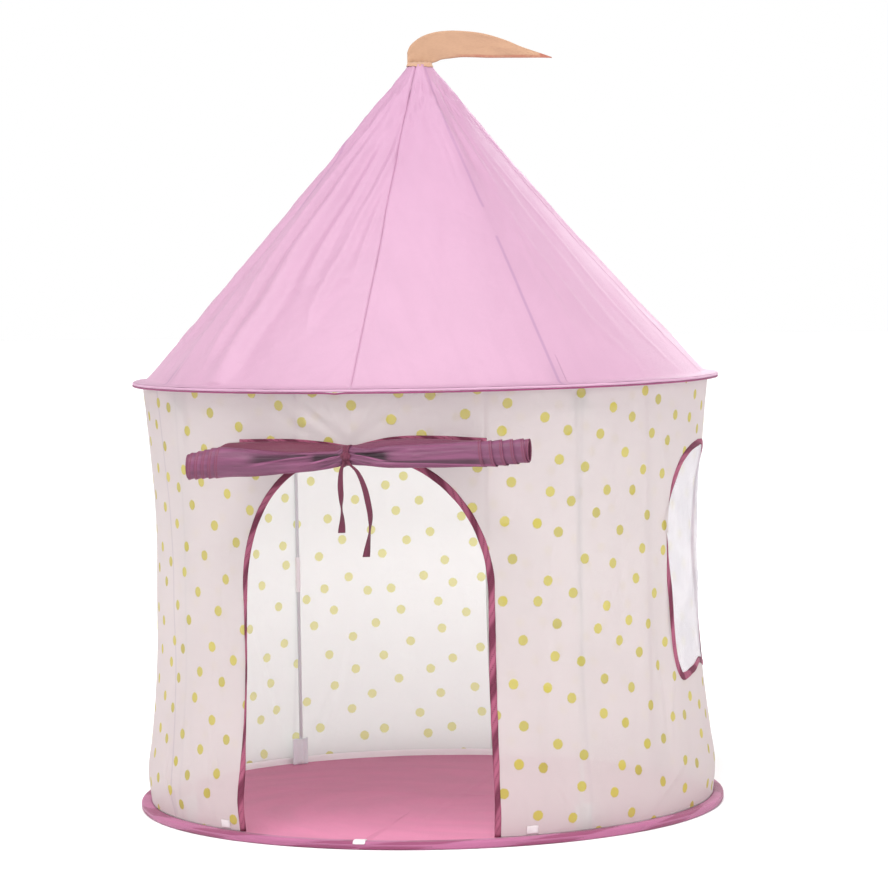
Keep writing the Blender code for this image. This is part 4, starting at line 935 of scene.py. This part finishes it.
@functools.lru_cache(maxsize=512)
def fold_row(share):
    """The pole's lean and the folds that reach a share of the slope."""
    row = []
    for path, width, depth, ridge, low, high in ROOF_FOLDS:
        along = step(share, low - 0.06, low + 0.1) * (1 - step(share, high - 0.18, high + 0.08))
        if along > 0:
            wide = width * (0.45 + 0.55 * (1 - share))
            row.append((lean_at(path, share), wide, along * depth, along * ridge))
    return lean_at(POLE_LEAN, share), row


def roof_point(azimuth, share):
    """Radius and height of the satin: sag between the poles, folds, crumples near the tip, and
    held up where it passes a pole."""
    radius, height = roof_line(share)
    lean, folds = fold_row(share)
    beyond = ((azimuth - ROOF_POLE - lean) / QUARTER) % 4
    gap = int(beyond) % 4
    across = beyond % 1
    between = abs(math.sin(math.pi * across)) ** 1.2
    drop = -ROOF_SAG[gap] * between * abs(math.sin(math.pi * share)) ** 0.8
    free = min(1, 6 * share, 9 * (1 - share))
    for middle, wide, depth, ridge in folds:
        arc = wrapped(azimuth - middle) * radius
        if abs(arc) < 4 * wide:
            fade = 1 / (1 + math.exp(arc / (0.3 * wide))) - 0.5
            drop += depth * fade * bell(arc, 2.4 * wide) + ridge * bell(arc + wide, wide)
    arc = azimuth * radius
    drop += 0.0016 * free * rough(arc * 10, share * 2.2, 9.4)
    drop += 0.0005 * free * rough(arc * 42, share * 14, 1.4)
    drop += 0.003 * bell(share - 0.91, 0.05) * rough(azimuth * 6, share * 30, 4.2)
    drop += 0.0018 * bell(share - 0.86, 0.08) * rough(azimuth * 14, share * 50, 2.7)
    if gap == 0:
        beside = across * QUARTER * radius
        drop -= 0.004 * bell(beside - 0.03, 0.018) * step(share, 0.3, 0.85) * free
    if gap == 2:
        beside = (1 - across) * QUARTER * radius
        drop -= 0.0035 * bell(beside - 0.03, 0.02) * free
    shy = bell(min(across, 1 - across) * QUARTER * radius, 0.012)
    drop = drop * (1 - shy) + shy * max(drop, -0.0006)
    return radius + drop * ROOF_SLOPE.y, height - drop * ROOF_SLOPE.x


def make_roof_quarter(index):
    """One gore: 90 degrees of cloth from the brim to the tip, turned in at both edges."""
    slope_rows, half = 110, 66
    rows = [(None, *place, -0.0262 + 0.0044 * k) for k, place in enumerate(FLARE)]
    for k in range(slope_rows + 1):
        share = k / slope_rows
        rows.append((share, *roof_line(share), share * ROOF_LENGTH))
    points, uv = [], []
    for share, radius, height, along in rows:
        start = index * QUARTER + lean_at(SEAM_LEAN, share or 0.0)
        end = start + QUARTER
        pole = ROOF_POLE + index * QUARTER + lean_at(POLE_LEAN, share or 0.0)
        squeeze = min(1.0, radius / 0.06) / radius
        edge = [d * squeeze for d in (0.0, 0.0009, 0.0022, 0.0042, 0.0075)]
        azimuths = [start + d for d in edge[:-1]]
        azimuths += list(np.linspace(start + edge[-1], pole, half))
        azimuths += list(np.linspace(pole, end - edge[-1], half))[1:]
        azimuths += [end - d for d in reversed(edge[:-1])]
        row, marks = [], []
        for azimuth in azimuths:
            if share is None:
                r, z = radius, height + 0.0005 * rough(azimuth * 30, radius * 90, 2.0)
            else:
                r, z = roof_point(azimuth, share)
            d = min(azimuth - start, end - azimuth) * radius
            tuck = 0.0018 * bell(d, 0.0009) - 0.0006 * bell(d - 0.005, 0.003)
            tuck *= 0.3 if share is None else 1.0
            pull = bell(along - 0.095, 0.04) + 0.5 * bell(along - 0.37, 0.07)
            pucker = bell(d - 0.01, 0.012) * (0.0003 + 0.0016 * pull)
            side = -1 if azimuth - start < end - azimuth else 1
            pucker *= rough((along + side * 1.3 * d) * 70, index * 3.0 + side, 0.5)
            row.append(polar(azimuth, r - tuck + pucker, z - 0.5 * tuck))
            marks.append(((azimuth - pole) * radius, along))
        points.append(row)
        uv.append(marks)
    points.append([polar(math.atan2(p.x, -p.y), 0.004, 1.3372) for p in points[-1]])
    uv.append([(u, v + 0.016) for u, v in uv[-1]])
    piece = grid_piece(f"roof_cloth_{index + 1}", points, uv)
    return dress(piece, "roof", "tent", "roof_cloth", f"roof_gore_{index + 1}")


def lathe_piece(name, profile, facets, look, slot, node, wave, lump=None):
    """Turn a profile of (radius, height) round the axis, with small uneven waves."""
    middle = sum(radius for radius, _ in profile) / len(profile)

    def place(k, n):
        azimuth = math.tau * k / facets
        radius, height = profile[n % len(profile)]
        shift = wave * rough(math.cos(azimuth) * 14, math.sin(azimuth) * 14, n * 0.6)
        grow, fall = lump(azimuth) if lump else (0.0, 0.0)
        point = polar(azimuth, radius + shift + grow * (radius - middle),
                      height + shift * 0.6 + fall)
        return point, (azimuth * RIM_RADIUS, height)

    piece = weld(woven(name, range(facets + 1), range(len(profile) + 1), place, wrap=True))
    return dress(piece, look, "tent", slot, node)


def rounded(low_r, high_r, low_z, high_z, corner, steps=4):
    """A rounded rectangle as (radius, height) points."""
    near, far = low_r + corner, high_r - corner
    low, high = low_z + corner, high_z - corner
    ring = []
    for quarter, (r, z) in enumerate(((far, high), (near, high), (near, low), (far, low))):
        for k in range(steps + 1):
            angle = (quarter + k / steps) * QUARTER
            ring.append((r + corner * math.cos(angle), z + corner * math.sin(angle)))
    return ring


def seam_lump(azimuth):
    """The bunched seam under the brim at the front."""
    swell = bell(wrapped(azimuth + math.radians(3)) * RIM_RADIUS, 0.011)
    return 0.5 * swell, -0.0016 * swell


def make_eave():
    """The brim over the upper hoop and the dark edging under it, its dark colour partly painted
    shade under the brim.
    """
    sleeve = rounded(0.5088, 0.5298, 0.7686, 0.773, 0.002)
    edge = rounded(0.525, 0.5296, 0.7655, 0.7684, 0.0009, 3)
    return (lathe_piece("eave_sleeve_cloth", sleeve, 240, "brim", "roof_cloth", "eave_sleeve",
                        0.0004),
            lathe_piece("eave_binding_tape", edge, 360, "edging", "binding", "eave_binding",
                        0.0005, seam_lump))


# Floor
def make_floor():
    """The floor sheet, lying flat with soft waves and fold lines, and the sleeve over the lower
    hoop."""
    facets, rings = 192, 60

    def place(k, n):
        radius = 0.5096 * (k / rings) ** 0.8
        p = polar(math.tau * n / facets, radius, 0)
        wave = 0.001 * (rough(p.x * 7, p.y * 7, 1.0) + 0.4 * rough(p.x * 26, p.y * 26, 5.0))
        fold = 0.0012 * bell(p.y + 0.08 * p.x - 0.04, 0.006) + 0.0012 * bell(p.x - 0.05, 0.006)
        p.z = 0.0018 + 0.0006 * step(radius, 0.47, 0.5085)
        p.z += (max(wave, -0.0007) + fold) * (1 - step(radius, 0.44, 0.5))
        return p, (p.x, p.y)

    piece = weld(woven("floor_cloth", range(rings + 1), range(facets + 1), place, wrap=True))
    thicken(piece, 0.0008, -1)
    dress(piece, "floor", "tent", "rose_cloth", "floor_sheet")
    rim = lathe_piece("floor_rim_cloth", rounded(0.5094, 0.53, 0.0001, 0.0144, 0.0046, 6), 360,
                      "rim", "rose_cloth", "floor_sleeve", 0.0004)
    for vertex in rim.data.vertices:
        vertex.co.z = max(vertex.co.z, 0.00005)
    return piece, rim


# Rolled flap: its size against the half sizes below, and the height of its middle, along x
ROLL_SIZE = ((-0.281, 1.28), (-0.25, 1.04), (-0.226, 0.94), (-0.2, 0.87), (-0.164, 0.79),
             (-0.1, 0.58), (-0.048, 0.51), (-0.023, 0.46), (-0.0038, 0.525), (0.012, 0.5),
             (0.032, 0.49), (0.067, 0.655), (0.117, 0.69), (0.2, 0.76), (0.226, 0.79),
             (0.25, 0.88), (0.306, 1.15))
ROLL_MIDDLE = ((-0.281, 0.645), (-0.226, 0.6522), (-0.164, 0.6508), (-0.1, 0.6503),
               (-0.048, 0.6535), (-0.023, 0.6568), (-0.0038, 0.6639), (0.012, 0.6615),
               (0.032, 0.66), (0.067, 0.6611), (0.117, 0.6618), (0.2, 0.6643),
               (0.25, 0.6668), (0.306, 0.6712))
# Pleats of the outer turn as (line of x and angle in degrees, width in degrees, step, ridge):
# a step is positive where the cloth above it stands out over the cloth below it
ROLL_PLEATS = (
    (((-0.19, 176), (-0.13, 164), (-0.08, 156), (-0.036, 152), (-0.01, 158)), 6, 0.34, 0.08),
    (((-0.105, 214), (-0.07, 196), (-0.036, 182), (-0.01, 176)), 5, 0.26, 0.06),
    (((-0.085, 236), (-0.045, 216), (-0.01, 198)), 5, -0.2, 0.05),
    (((-0.12, 118), (-0.06, 124), (-0.01, 138)), 6, 0.22, 0.05),
    (((-0.15, 196), (-0.11, 184), (-0.07, 172), (-0.03, 166)), 5, -0.16, 0.04),
    (((-0.06, 262), (-0.01, 230)), 6, 0.2, 0.05),
    (((0.002, 156), (0.03, 144), (0.07, 140), (0.12, 132)), 6, 0.34, 0.08),
    (((0.002, 172), (0.03, 168), (0.06, 170), (0.1, 176)), 5, 0.24, 0.06),
    (((0.002, 188), (0.03, 196), (0.07, 208), (0.11, 216)), 5, -0.22, 0.05),
    (((0.002, 206), (0.03, 226), (0.06, 244)), 6, 0.2, 0.05),
    (((0.002, 130), (0.03, 112), (0.06, 104)), 5, 0.2, 0.05),
    (((0.11, 180), (0.17, 172), (0.222, 168)), 5, 0.1, 0.02),
    (((0.06, 150), (0.14, 148), (0.222, 150)), 6, 0.08, 0.02),
    (((-0.226, 196), (-0.19, 190), (-0.15, 184)), 5, 0.1, 0.02),
)
ROLL_HALF_TALL = 0.028
ROLL_HALF_DEEP = 0.0225
ROLL_Y = -0.5403
ROLL_TURNS = 6.2
ROLL_START = math.radians(78)
INNER_TURN = 0.5


def roll_edges(turn):
    """Left and right ends of the flap at a count of turns from the outside."""
    part = min(turn / 4.6, 1.0)
    return -0.226 - 0.055 * part, 0.2235 + 0.0825 * part


def roll_surface(x, turn):
    """Point of the spiral at a distance along the roll and a count of turns from the outside."""
    angle = ROLL_START + turn * math.tau
    c, s = math.cos(angle), math.sin(angle)
    off = x - TIE_X
    ridge = 0.05 * bell(off, 0.012) * math.sin(11 * angle) + 0.03 * rough(x * 16, c * 1.3, s * 1.3)
    ridge += (0.012 + 0.03 * bell(off, 0.07)) * rough(x * 55, c * 5, s * 5)
    degrees = math.degrees(angle) % 360
    for line, width, rise, lift in ROLL_PLEATS:
        low, high = line[0][0], line[-1][0]
        if low < x < high and turn < 1.2:
            away = degrees - curve_at(line, x)
            if abs(away) < 9 * width:
                along = step(x, low, low + 0.05) if low < TIE_X else 1 - step(x, high - 0.05, high)
                along *= 1 - 0.55 * bell(off, 0.014)
                fall = 1 / (1 + math.exp(away / (0.3 * width))) - 0.5
                ridge += along * (1.5 * rise * fall * bell(away, 3.2 * width)
                                  + lift * bell(away + math.copysign(1.6 * width, rise), width))
    reach = (1 - (1 - INNER_TURN) * turn / ROLL_TURNS) * curve_at(ROLL_SIZE, x) * (1 + ridge)
    ragged = 0.001 * rough(turn * 2.3, x * 8, 6.1)
    return Vector((x, ROLL_Y + reach * ROLL_HALF_DEEP * c,
                   curve_at(ROLL_MIDDLE, x) + reach * ROLL_HALF_TALL * s + ragged))


def make_roll():
    """The flap as one sheet, from its fold line over the top and wound inwards."""
    turns = [k / 100 for k in range(100)]
    turns += [1 + k / 26 for k in range(int((ROLL_TURNS - 1) * 26) + 1)]
    spread = np.linspace(0, 1, 65)[1:]
    ends = (0.0, 0.0012, 0.0026, 0.004, 0.0054, 0.0085)
    neck = 5
    points, uv = [], []
    for k in range(-neck, len(turns)):
        turn = turns[max(k, 0)]
        pinch = max(-k / neck, 0)
        low, high = roll_edges(turn)
        low, high = low + 0.012 * pinch, high - 0.01 * pinch
        left, right = low + ends[-1], high - ends[-1]
        xs = [low + d for d in ends]
        xs += list(left + (TIE_X - left) * (1 - (1 - spread) ** 1.3))
        xs += list(TIE_X + (right - TIE_X) * spread ** 1.3)
        xs += [high - d for d in ends[-2::-1]]
        row = [roll_surface(x, turn) for x in xs]
        if pinch:
            row = [top.lerp(Vector((x, FOLD_Y, fold_height(x))), pinch) for x, top in zip(xs, row)]
            for point in row:
                point.z += 0.0016 * math.sin(math.pi * pinch)
        points.append(row)
        uv.append([(x - low, high - x) for x in xs])
    piece = thicken(grid_piece("door_roll_cloth", points, uv), 0.0006)
    return dress(piece, "roll", "rolled_flap", "roll_cloth", "door_roll")


STRIP_DIP = ((-0.23, 0.6816), (-0.165, 0.6838), (-0.106, 0.684), (-0.05, 0.6795),
             (-0.018, 0.6755), (-0.002, 0.6752), (0.03, 0.6816), (0.058, 0.6868),
             (0.089, 0.6893), (0.125, 0.689), (0.157, 0.6875), (0.206, 0.6835), (0.23, 0.6822))


def fold_height(x):
    """The fold line, pulled down a little at the tie as the strip is."""
    return FOLD_Z + 0.8 * (curve_at(STRIP_DIP, x) - 0.6845)


def make_web():
    """Cloth between the seam strip on the wall and the fold line."""
    def place(k, x):
        share = k / 7
        arc = WALL_RADIUS * math.asin(x / WALL_RADIUS)
        back = wall_at(arc, curve_at(STRIP_DIP, x) - 0.002, 0.0022)
        p = back.lerp(Vector((x, FOLD_Y, fold_height(x))), share)
        slack = math.sin(math.pi * share)
        p.z += 0.0012 * slack * rough(x * 30, share * 3, 8.0) - 0.001 * slack
        return p, (x, share * 0.04)

    piece = woven("flap_web_cloth", range(8), np.linspace(-0.214, 0.2135, 91), place)
    return dress(thicken(piece, 0.0006), "web", "tent", "roll_cloth", "flap_web")


def make_strip():
    """The dark seam tape over the doorway, pulled down where the tie hangs."""
    line = [(WALL_RADIUS * math.asin(x / WALL_RADIUS), curve_at(STRIP_DIP, x))
            for x in np.linspace(-0.2175, 0.217, 110)]
    centres = [wall_at(a, z, 0.0017) for a, z in line]
    ups = [polar(a / WALL_RADIUS, 1, 0) for a, _ in line]
    runs = [after - before
            for before, after in zip(centres[:1] + centres, centres[1:] + centres[-1:])]
    sides = [up.cross(run.normalized()).normalized() for up, run in zip(ups, runs)]

    def profile(k):
        return tape_ring(STRIP_HALF * (1 - 0.25 * bell(centres[k].x - TIE_X, 0.03)), 0.0011, 0.6)

    piece = tube_piece("flap_strip_tape", centres, sides, ups, profile)
    return dress(piece, "tape", "tent", "binding", "flap_strip")


def make_tie():
    """The ribbon round the pinched roll, and its knot."""
    rows, columns = 64, 8

    def band_place(k, n):
        across = n / columns * 2 - 1
        angle = math.tau * k / rows
        x = TIE_X + BAND_HALF * across * (1 - 0.25 * bell(k / rows - 0.44, 0.08))
        swell = (0.53 + 0.05 * abs(across)) * (1 + 0.03 * math.sin(11 * angle) * (1 - abs(across)))
        deep = (swell * ROLL_HALF_DEEP + 0.0016) * math.cos(angle)
        tall = (swell * ROLL_HALF_TALL + 0.0016) * math.sin(angle)
        return (Vector((x, ROLL_Y + deep, curve_at(ROLL_MIDDLE, x) + tall)),
                (k / rows * 0.1, n / columns))

    band = weld(woven("tie_band_ribbon", range(rows + 1), range(columns + 1), band_place))
    dress(thicken(band, 0.001), "ribbon", "rolled_flap", "binding", "tie_band")
    count, around = 26, 20

    def knot_place(k, n):
        down, angle = math.pi * k / count, math.tau * n / around
        wrap = 0.14 * math.sin(2 * angle + 7 * math.cos(down))
        wrap += 0.08 * math.sin(5 * angle - 3 * down)
        size = (1 + wrap * math.sin(down)) * math.sin(down)
        return (KNOT + Vector((0.0086 * math.cos(down) * (1 + 0.3 * wrap),
                               0.005 * size * math.cos(angle), 0.0067 * size * math.sin(angle))),
                (n / around * 0.03, k / count))

    knot = weld(woven("tie_knot", range(count + 1), range(around + 1), knot_place, wrap=True))
    return band, dress(knot, "ribbon", "rolled_flap", "binding")


# Free ends of the tie: name, side, length, and rows of (share down, sway, quarter turns, width)
RIBBONS = (
    ("left", -1, 0.122,
     ((0, 0, 0, 0.34), (0.05, 0.01, 0, 0.36), (0.14, 0.12, 0.1, 0.5), (0.32, 0.16, 0.2, 0.72),
      (0.5, 0.12, 0.5, 0.78), (0.66, 0.1, 1.0, 0.75), (0.8, 0.1, 0.75, 0.85),
      (1, 0.15, 0.15, 1.0))),
    ("right", 1, 0.162,
     ((0, 0, 0, 0.34), (0.04, 0.06, 0, 0.4), (0.12, 0.41, 0.1, 0.55), (0.28, 0.72, 0.05, 0.75),
      (0.44, 0.9, 0.3, 0.8), (0.58, 1, 0.55, 0.8), (0.72, 0.97, 0.95, 0.8),
      (0.86, 0.86, 0.65, 0.85), (1, 0.76, 0.2, 1.0))),
)


def make_ribbon(name, side, length, path):
    """A free end of the tie, gathered at the knot and twisting as it hangs."""
    top = KNOT + Vector((side * 0.0035, 0, -0.0066))
    tables = [[(row[0], row[n]) for row in path] for n in (1, 2, 3)]

    def place(k, n):
        down = k / 56
        sway, turned, width = (curve_at(table, down) for table in tables)
        c, s = math.cos(turned * QUARTER), math.sin(turned * QUARTER)
        middle = top + Vector((side * sway * RIBBON_SWAY, 0.0015 * math.sin(9 * down),
                               -down * (length - 0.0003)))
        across = n / 3 - 1
        curl = 0.0012 * across * across * (1 - down * 0.5) + 0.0004 * rough(down * 9, across)
        point = middle + Vector((c, s, 0)) * (across * RIBBON_HALF * width)
        return point + Vector((-s, c, 0)) * curl, (down * length, n / 6)

    piece = thicken(woven(f"ribbon_end_{name}_tape", range(57), range(7), place), 0.0008)
    dress(piece, "ribbon", f"ribbon_{name}", "binding", f"ribbon_end_{name}")


# Pennant: upper and lower edge as heights along it, and the rings of its gathered foot
FLAG_UPPER = ((0.0, 0.02), (0.004, 0.03), (0.013, 0.0395), (0.028, 0.049), (0.05, 0.0557),
              (0.07, 0.0578), (0.087, 0.058), (0.12, 0.0552), (0.146, 0.0499), (0.18, 0.0385),
              (0.204, 0.0278), (0.235, 0.0165), (0.261, 0.0068))
FLAG_LOWER = ((0.0, 0.0006), (0.012, 0.0), (0.041, 0.0), (0.052, 0.0022), (0.061, 0.006),
              (0.08, 0.0082), (0.098, 0.0099), (0.12, 0.0094), (0.146, 0.0081), (0.2, 0.0072),
              (0.245, 0.0064), (0.261, 0.0061))
FLAG_CUFF = ((1.3316, 0.0238, 0.0238), (1.3332, 0.0232, 0.0226), (1.335, 0.0226, 0.0205),
             (1.3364, 0.0222, 0.016), (1.3376, 0.0219, 0.01), (1.3388, 0.0217, 0.0048),
             (1.3402, 0.0216, 0.0022))


def make_flag():
    """The pennant: a stiff cloth blade with soft waves, its foot gathered round the tip."""
    along = Vector((math.cos(TENT_TURN), math.sin(TENT_TURN), 0))
    front = Vector((math.sin(TENT_TURN), -math.cos(TENT_TURN), 0))
    columns, rows, pleats = 110, 16, 96

    def blade_place(n, k):
        up = n / rows
        x = FLAG_LENGTH * (k / columns) ** 1.1
        low, high = curve_at(FLAG_LOWER, x), curve_at(FLAG_UPPER, x)
        z = low + (high - low) * up
        wave = 0.0026 * math.sin(x * 34 + up * 1.4) * step(x, 0.03, 0.12)
        wave += 0.0014 * rough(x * 26, up * 2.2, 3.0)
        wave += 0.0016 * math.sin(x * 420) * bell(z, 0.007) * (1 - step(x, 0.045, 0.06))
        wave *= 0.35 + 0.65 * step(z, 0.0, 0.012)
        point = FLAG_PIVOT + along * (x - 0.022) + front * wave + Vector((0, 0, z - 0.0007))
        return point, (x, z - low)

    def cuff_place(k, n):
        up, half_long, half_deep = FLAG_CUFF[k]
        turn = math.tau * n / pleats
        pleat = 1 + 0.02 * math.sin(17 * turn + 0.8 * k) + 0.012 * math.sin(29 * turn)
        up += -0.0012 * math.cos(turn) * (1 - k / 6) + 0.0004 * math.sin(13 * turn)
        point = (along * (math.cos(turn) * half_long * pleat)
                 + front * (math.sin(turn) * half_deep * pleat) + Vector((0, 0, up)))
        return point, (0.16 + n / pleats * 0.05, 0.02 + k * 0.0012)

    piece = woven("pennant_cloth", range(rows + 1), range(columns + 1), blade_place)
    dress(thicken(piece, 0.0014), "flag", "pennant", "flag_cloth", "flag")
    cuff = woven("pennant_root", range(len(FLAG_CUFF)), range(pleats + 1), cuff_place, wrap=True)
    dress(thicken(cuff, 0.0006), "flag", "tent", "flag_cloth")


# Pockets, tabs and hard parts
def pocket_cloth(name, corner, origin, across, up, inward, height):
    """A tape sleeve sewn flat at both sides, standing out over the rod in it."""
    def place(k, n):
        y = k / 16
        x = (n / 28 - 0.5) * POCKET_WIDTH
        lift = 0.0004 + 0.0092 * bell(x, 0.0062) * step(y, -0.02, 0.12)
        lift += 0.0004 * rough(x * 260, y * 4, 5.5) + 0.0006 * bell(y - 1, 0.05)
        return origin + across * x + up * (y * height) + inward * lift, (x, y * height)

    piece = thicken(woven(f"{name}_pocket_cloth_{corner}", range(17), range(29), place), 0.0011, -1)
    nodes = [f"{name}_pocket_{corner}"] if name != "roof" else []
    return dress(piece, "pocket", "tent", "pocket_cloth", *nodes)


def make_pockets(index, corner):
    """The three sleeves of a corner: over the wall pole's foot and top and the roof pole's foot."""
    azimuth = (index + 0.5) * QUARTER
    across = Vector((math.cos(azimuth), math.sin(azimuth), 0))
    inward, up = polar(azimuth, -1, 0), Vector((0, 0, 1))
    low, high = (polar(azimuth, POLE_AT + 0.0046, height) for height in (0.0026, 0.758))
    turn = ROOF_POLE + index * QUARTER
    slope = polar(turn, ROOF_SLOPE.x, ROOF_SLOPE.y)
    under = polar(turn, -ROOF_SLOPE.y, ROOF_SLOPE.x)
    foot = polar(turn, *ROOF_FOOT) + under * 0.0028 - slope * 0.002
    side = Vector((math.cos(turn), math.sin(turn), 0))
    return [pocket_cloth("foot", corner, low, across, up, inward, 0.0515),
            pocket_cloth("eave", corner, high, across, -up, inward, 0.033),
            pocket_cloth("roof", corner, foot, side, slope, under, 0.034)]


# The threshold's tab over the rim, as distance along it, y and height
TAB_PATH = ((-0.007, -0.5118, 0.0153), (-0.001, -0.5178, 0.0154), (0.003, -0.5215, 0.0154),
            (0.0052, -0.524, 0.0152), (0.0068, -0.5262, 0.0144), (0.0078, -0.5278, 0.0132),
            (0.0098, -0.5294, 0.0115), (0.0124, -0.5303, 0.009))


def make_tab(side, put):
    """A square of hook tape with rounded corners, proud of what it is sewn to."""
    def place(k, n):
        x, y = n / 8 - 1, k / 6 - 1
        corner = max(abs(x) - 0.8, 0) ** 2 / 0.04 + max(abs(y) - 0.7, 0) ** 2 / 0.09
        pull = 1 - 0.05 * min(corner, 1.5)
        lift = 0.0006 * (1 - max(abs(x), abs(y)) ** 8) + 0.00015 * rough(x * 9, y * 9, 1.2)
        x, y = x * TAB_HALF[0], y * TAB_HALF[1]
        return put(x * pull, y * pull, lift), (x, y)

    piece = thicken(woven(f"hook_tape_{side}", range(13), range(17), place), 0.0009)
    return dress(piece, "tab", "tent", "tab", f"hook_tab_{side}")


def on_wall(degrees):
    """Where a tab's points lie on the wall's foot at an azimuth."""
    arc = math.radians(degrees) * WALL_RADIUS
    return lambda x, y, lift: wall_at(arc + x, 0.024 + y, 0.0012 + lift)


def over_rim(x, y, lift):
    """Where the threshold tab's points lie, draped over the rim."""
    run = -0.007 + (0.007 - y) / 0.014 * 0.019
    back = curve_at([(row[0], row[1]) for row in TAB_PATH], run)
    up = curve_at([(row[0], row[2]) for row in TAB_PATH], run)
    return Vector((x, back - 0.0005 - lift, up + lift * 0.6))


def finish_nodes():
    """Better materials for the rigid solids that stay in view."""
    rod = solid_finish("fibreglass_rod", (0.62, 0.66, 0.67), 0.4, grain=(1, 1, 0.06))
    white = solid_finish("white_moulding", (0.86, 0.86, 0.86), 0.32)
    wire = solid_finish("spring_wire", (0.55, 0.55, 0.56), 0.35, metallic=1.0, depth=0.00001)
    starts = {"wall_rod": rod, "roof_rod_upper": rod, "wall_ferrule": white,
              "roof_rod_lower": white, "apex_hub": white, "floor_hoop": wire, "eave_hoop": wire}
    for name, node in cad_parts.items():
        for start, look in starts.items():
            if name.startswith(start):
                node.data.materials.clear()
                node.data.materials.append(look)


# Stage
def add_light(kind, name, energy, **settings):
    data = bpy.data.lights.new(name, kind)
    data.energy = energy
    for key, value in settings.items():
        setattr(data, key, value)
    return add_object(name, data)


def aim(lamp, direction):
    lamp.rotation_euler = Vector(direction).to_track_quat("-Z", "Y").to_euler()


def make_stage():
    """A pale floor, a dome that is brightest at the horizon, a soft sun and four small lights."""
    mesh = bpy.data.meshes.new("ground")
    side = 30.0
    corners = [(-side, -side, 0), (side, -side, 0), (side, side, 0), (-side, side, 0)]
    mesh.from_pydata(corners, [], [(0, 1, 2, 3)])
    t = Tree(bpy.data.materials.new("pale_floor"))
    tone = t.mix(t.noise(t.place(), 3.0, 2.0), (0.93, 0.93, 0.93, 1), (0.96, 0.96, 0.96, 1))
    mesh.materials.append(t.finish(t.surface(tone, 0.9, Specular_IOR_Level=0.1)))
    add_object("ground", mesh)

    world = bpy.data.worlds.new("studio")
    bpy.context.scene.world = world
    t = Tree(world)
    up = t.split(t.add("ShaderNodeTexCoord", out="Generated"))[2]
    dome = t.add("ShaderNodeMapRange", {"Value": up, "From Min": 0.22, "From Max": 0.55,
                                        "To Min": 1.0, "To Max": 0.55})
    t.finish(t.add("ShaderNodeBackground", {0: (1, 1, 1, 1), 1: dome}), "World")

    aim(add_light("SUN", "high_key", 2.7, angle=math.radians(32)), (0.04, 0.49, -0.87))
    add_light("POINT", "inner_glow", 1.9, shadow_soft_size=0.22).location = (0.05, 0.02, 0.5)
    for name, place, size, power, target in (
            ("left", (-4.4, -2.4, 2.4), 1.2, 27, (0, 0, 0.8)),
            ("right", (4.4, -2.6, 2.6), 1.6, 56, (0, 0, 0.9)),
            ("back", (0.5, 4.8, 2.6), 3.0, 80, (0, 0, 0.5))):
        lamp = add_light("AREA", name, power, size=size)
        lamp.location = place
        aim(lamp, Vector(target) - Vector(place))


def make_camera():
    """The fitted camera, turned with the tent."""
    forward = Vector((math.sin(CAMERA_YAW) * math.cos(CAMERA_PITCH),
                      math.cos(CAMERA_YAW) * math.cos(CAMERA_PITCH), -math.sin(CAMERA_PITCH)))
    level = Vector((math.cos(CAMERA_YAW), -math.sin(CAMERA_YAW), 0))
    above = level.cross(forward)
    right = level * math.cos(CAMERA_ROLL) + above * math.sin(CAMERA_ROLL)
    upward = above * math.cos(CAMERA_ROLL) - level * math.sin(CAMERA_ROLL)
    axes = Matrix((right, upward, -forward)).transposed().to_4x4()
    axes.translation = Vector((0, -CAMERA_DISTANCE, CAMERA_HEIGHT))
    data = bpy.data.cameras.new("camera")
    data.sensor_width = SENSOR_MM
    data.lens = CAMERA_FOCUS_PX / IMAGE_PX * SENSOR_MM
    data.clip_end = 100
    camera = add_object("camera", data)
    camera.matrix_world = Matrix.Rotation(TENT_TURN, 4, "Z") @ axes
    bpy.context.scene.camera = camera


make_camera()
make_stage()
bpy.context.scene.view_settings.view_transform = "Standard"

door = door_line()
window = window_line()
wall_front = make_wall("front", -QUARTER / 2, QUARTER / 2, door)
wall_right = make_wall("right", QUARTER / 2, math.pi, window)
wall_left = make_wall("left", -math.pi, -QUARTER / 2)
doorway = DOOR_HALF / WALL_RADIUS
skirt_right = make_skirt("right", doorway, math.pi)
skirt_left = make_skirt("left", -math.pi, -doorway)
seam_tape = make_back_seam()
door_tape = tape_along("door", door, door_turn, width=0.0118, thickness=0.0031, seed=1)
tucked = [(arc - 0.0045 * bell(height - 0.525, 0.028) * (arc < WINDOW_ARC), height)
          for arc, height in window]
window_tape = tape_along("window", tucked, window_turn, width=0.0112, thickness=0.0032, seed=2,
                         closed=True, narrow=window_narrow, sink=window_sink)
net = make_net(window)
roof = [make_roof_quarter(index) for index in range(4)]
eave_ring, eave_tape = make_eave()
floor, rim = make_floor()
roll = make_roll()
web = make_web()
strip = make_strip()
band, knot = make_tie()
for ribbon in RIBBONS:
    make_ribbon(*ribbon)
make_flag()
pockets = [make_pockets(index, corner) for index, corner in enumerate(CORNERS)]
tabs = [make_tab("left", on_wall(-30.3)), make_tab("right", on_wall(32.7)),
        make_tab("threshold", over_rim)]
finish_nodes()

[window_tape, skirt_right] + [p for trio in pockets[:2] for p in trio]
[skirt_left, seam_tape] + [p for trio in pockets[2:] for p in trio]
for index, piece in enumerate(roof):
    [eave_ring, eave_tape] if index == 0 else ()
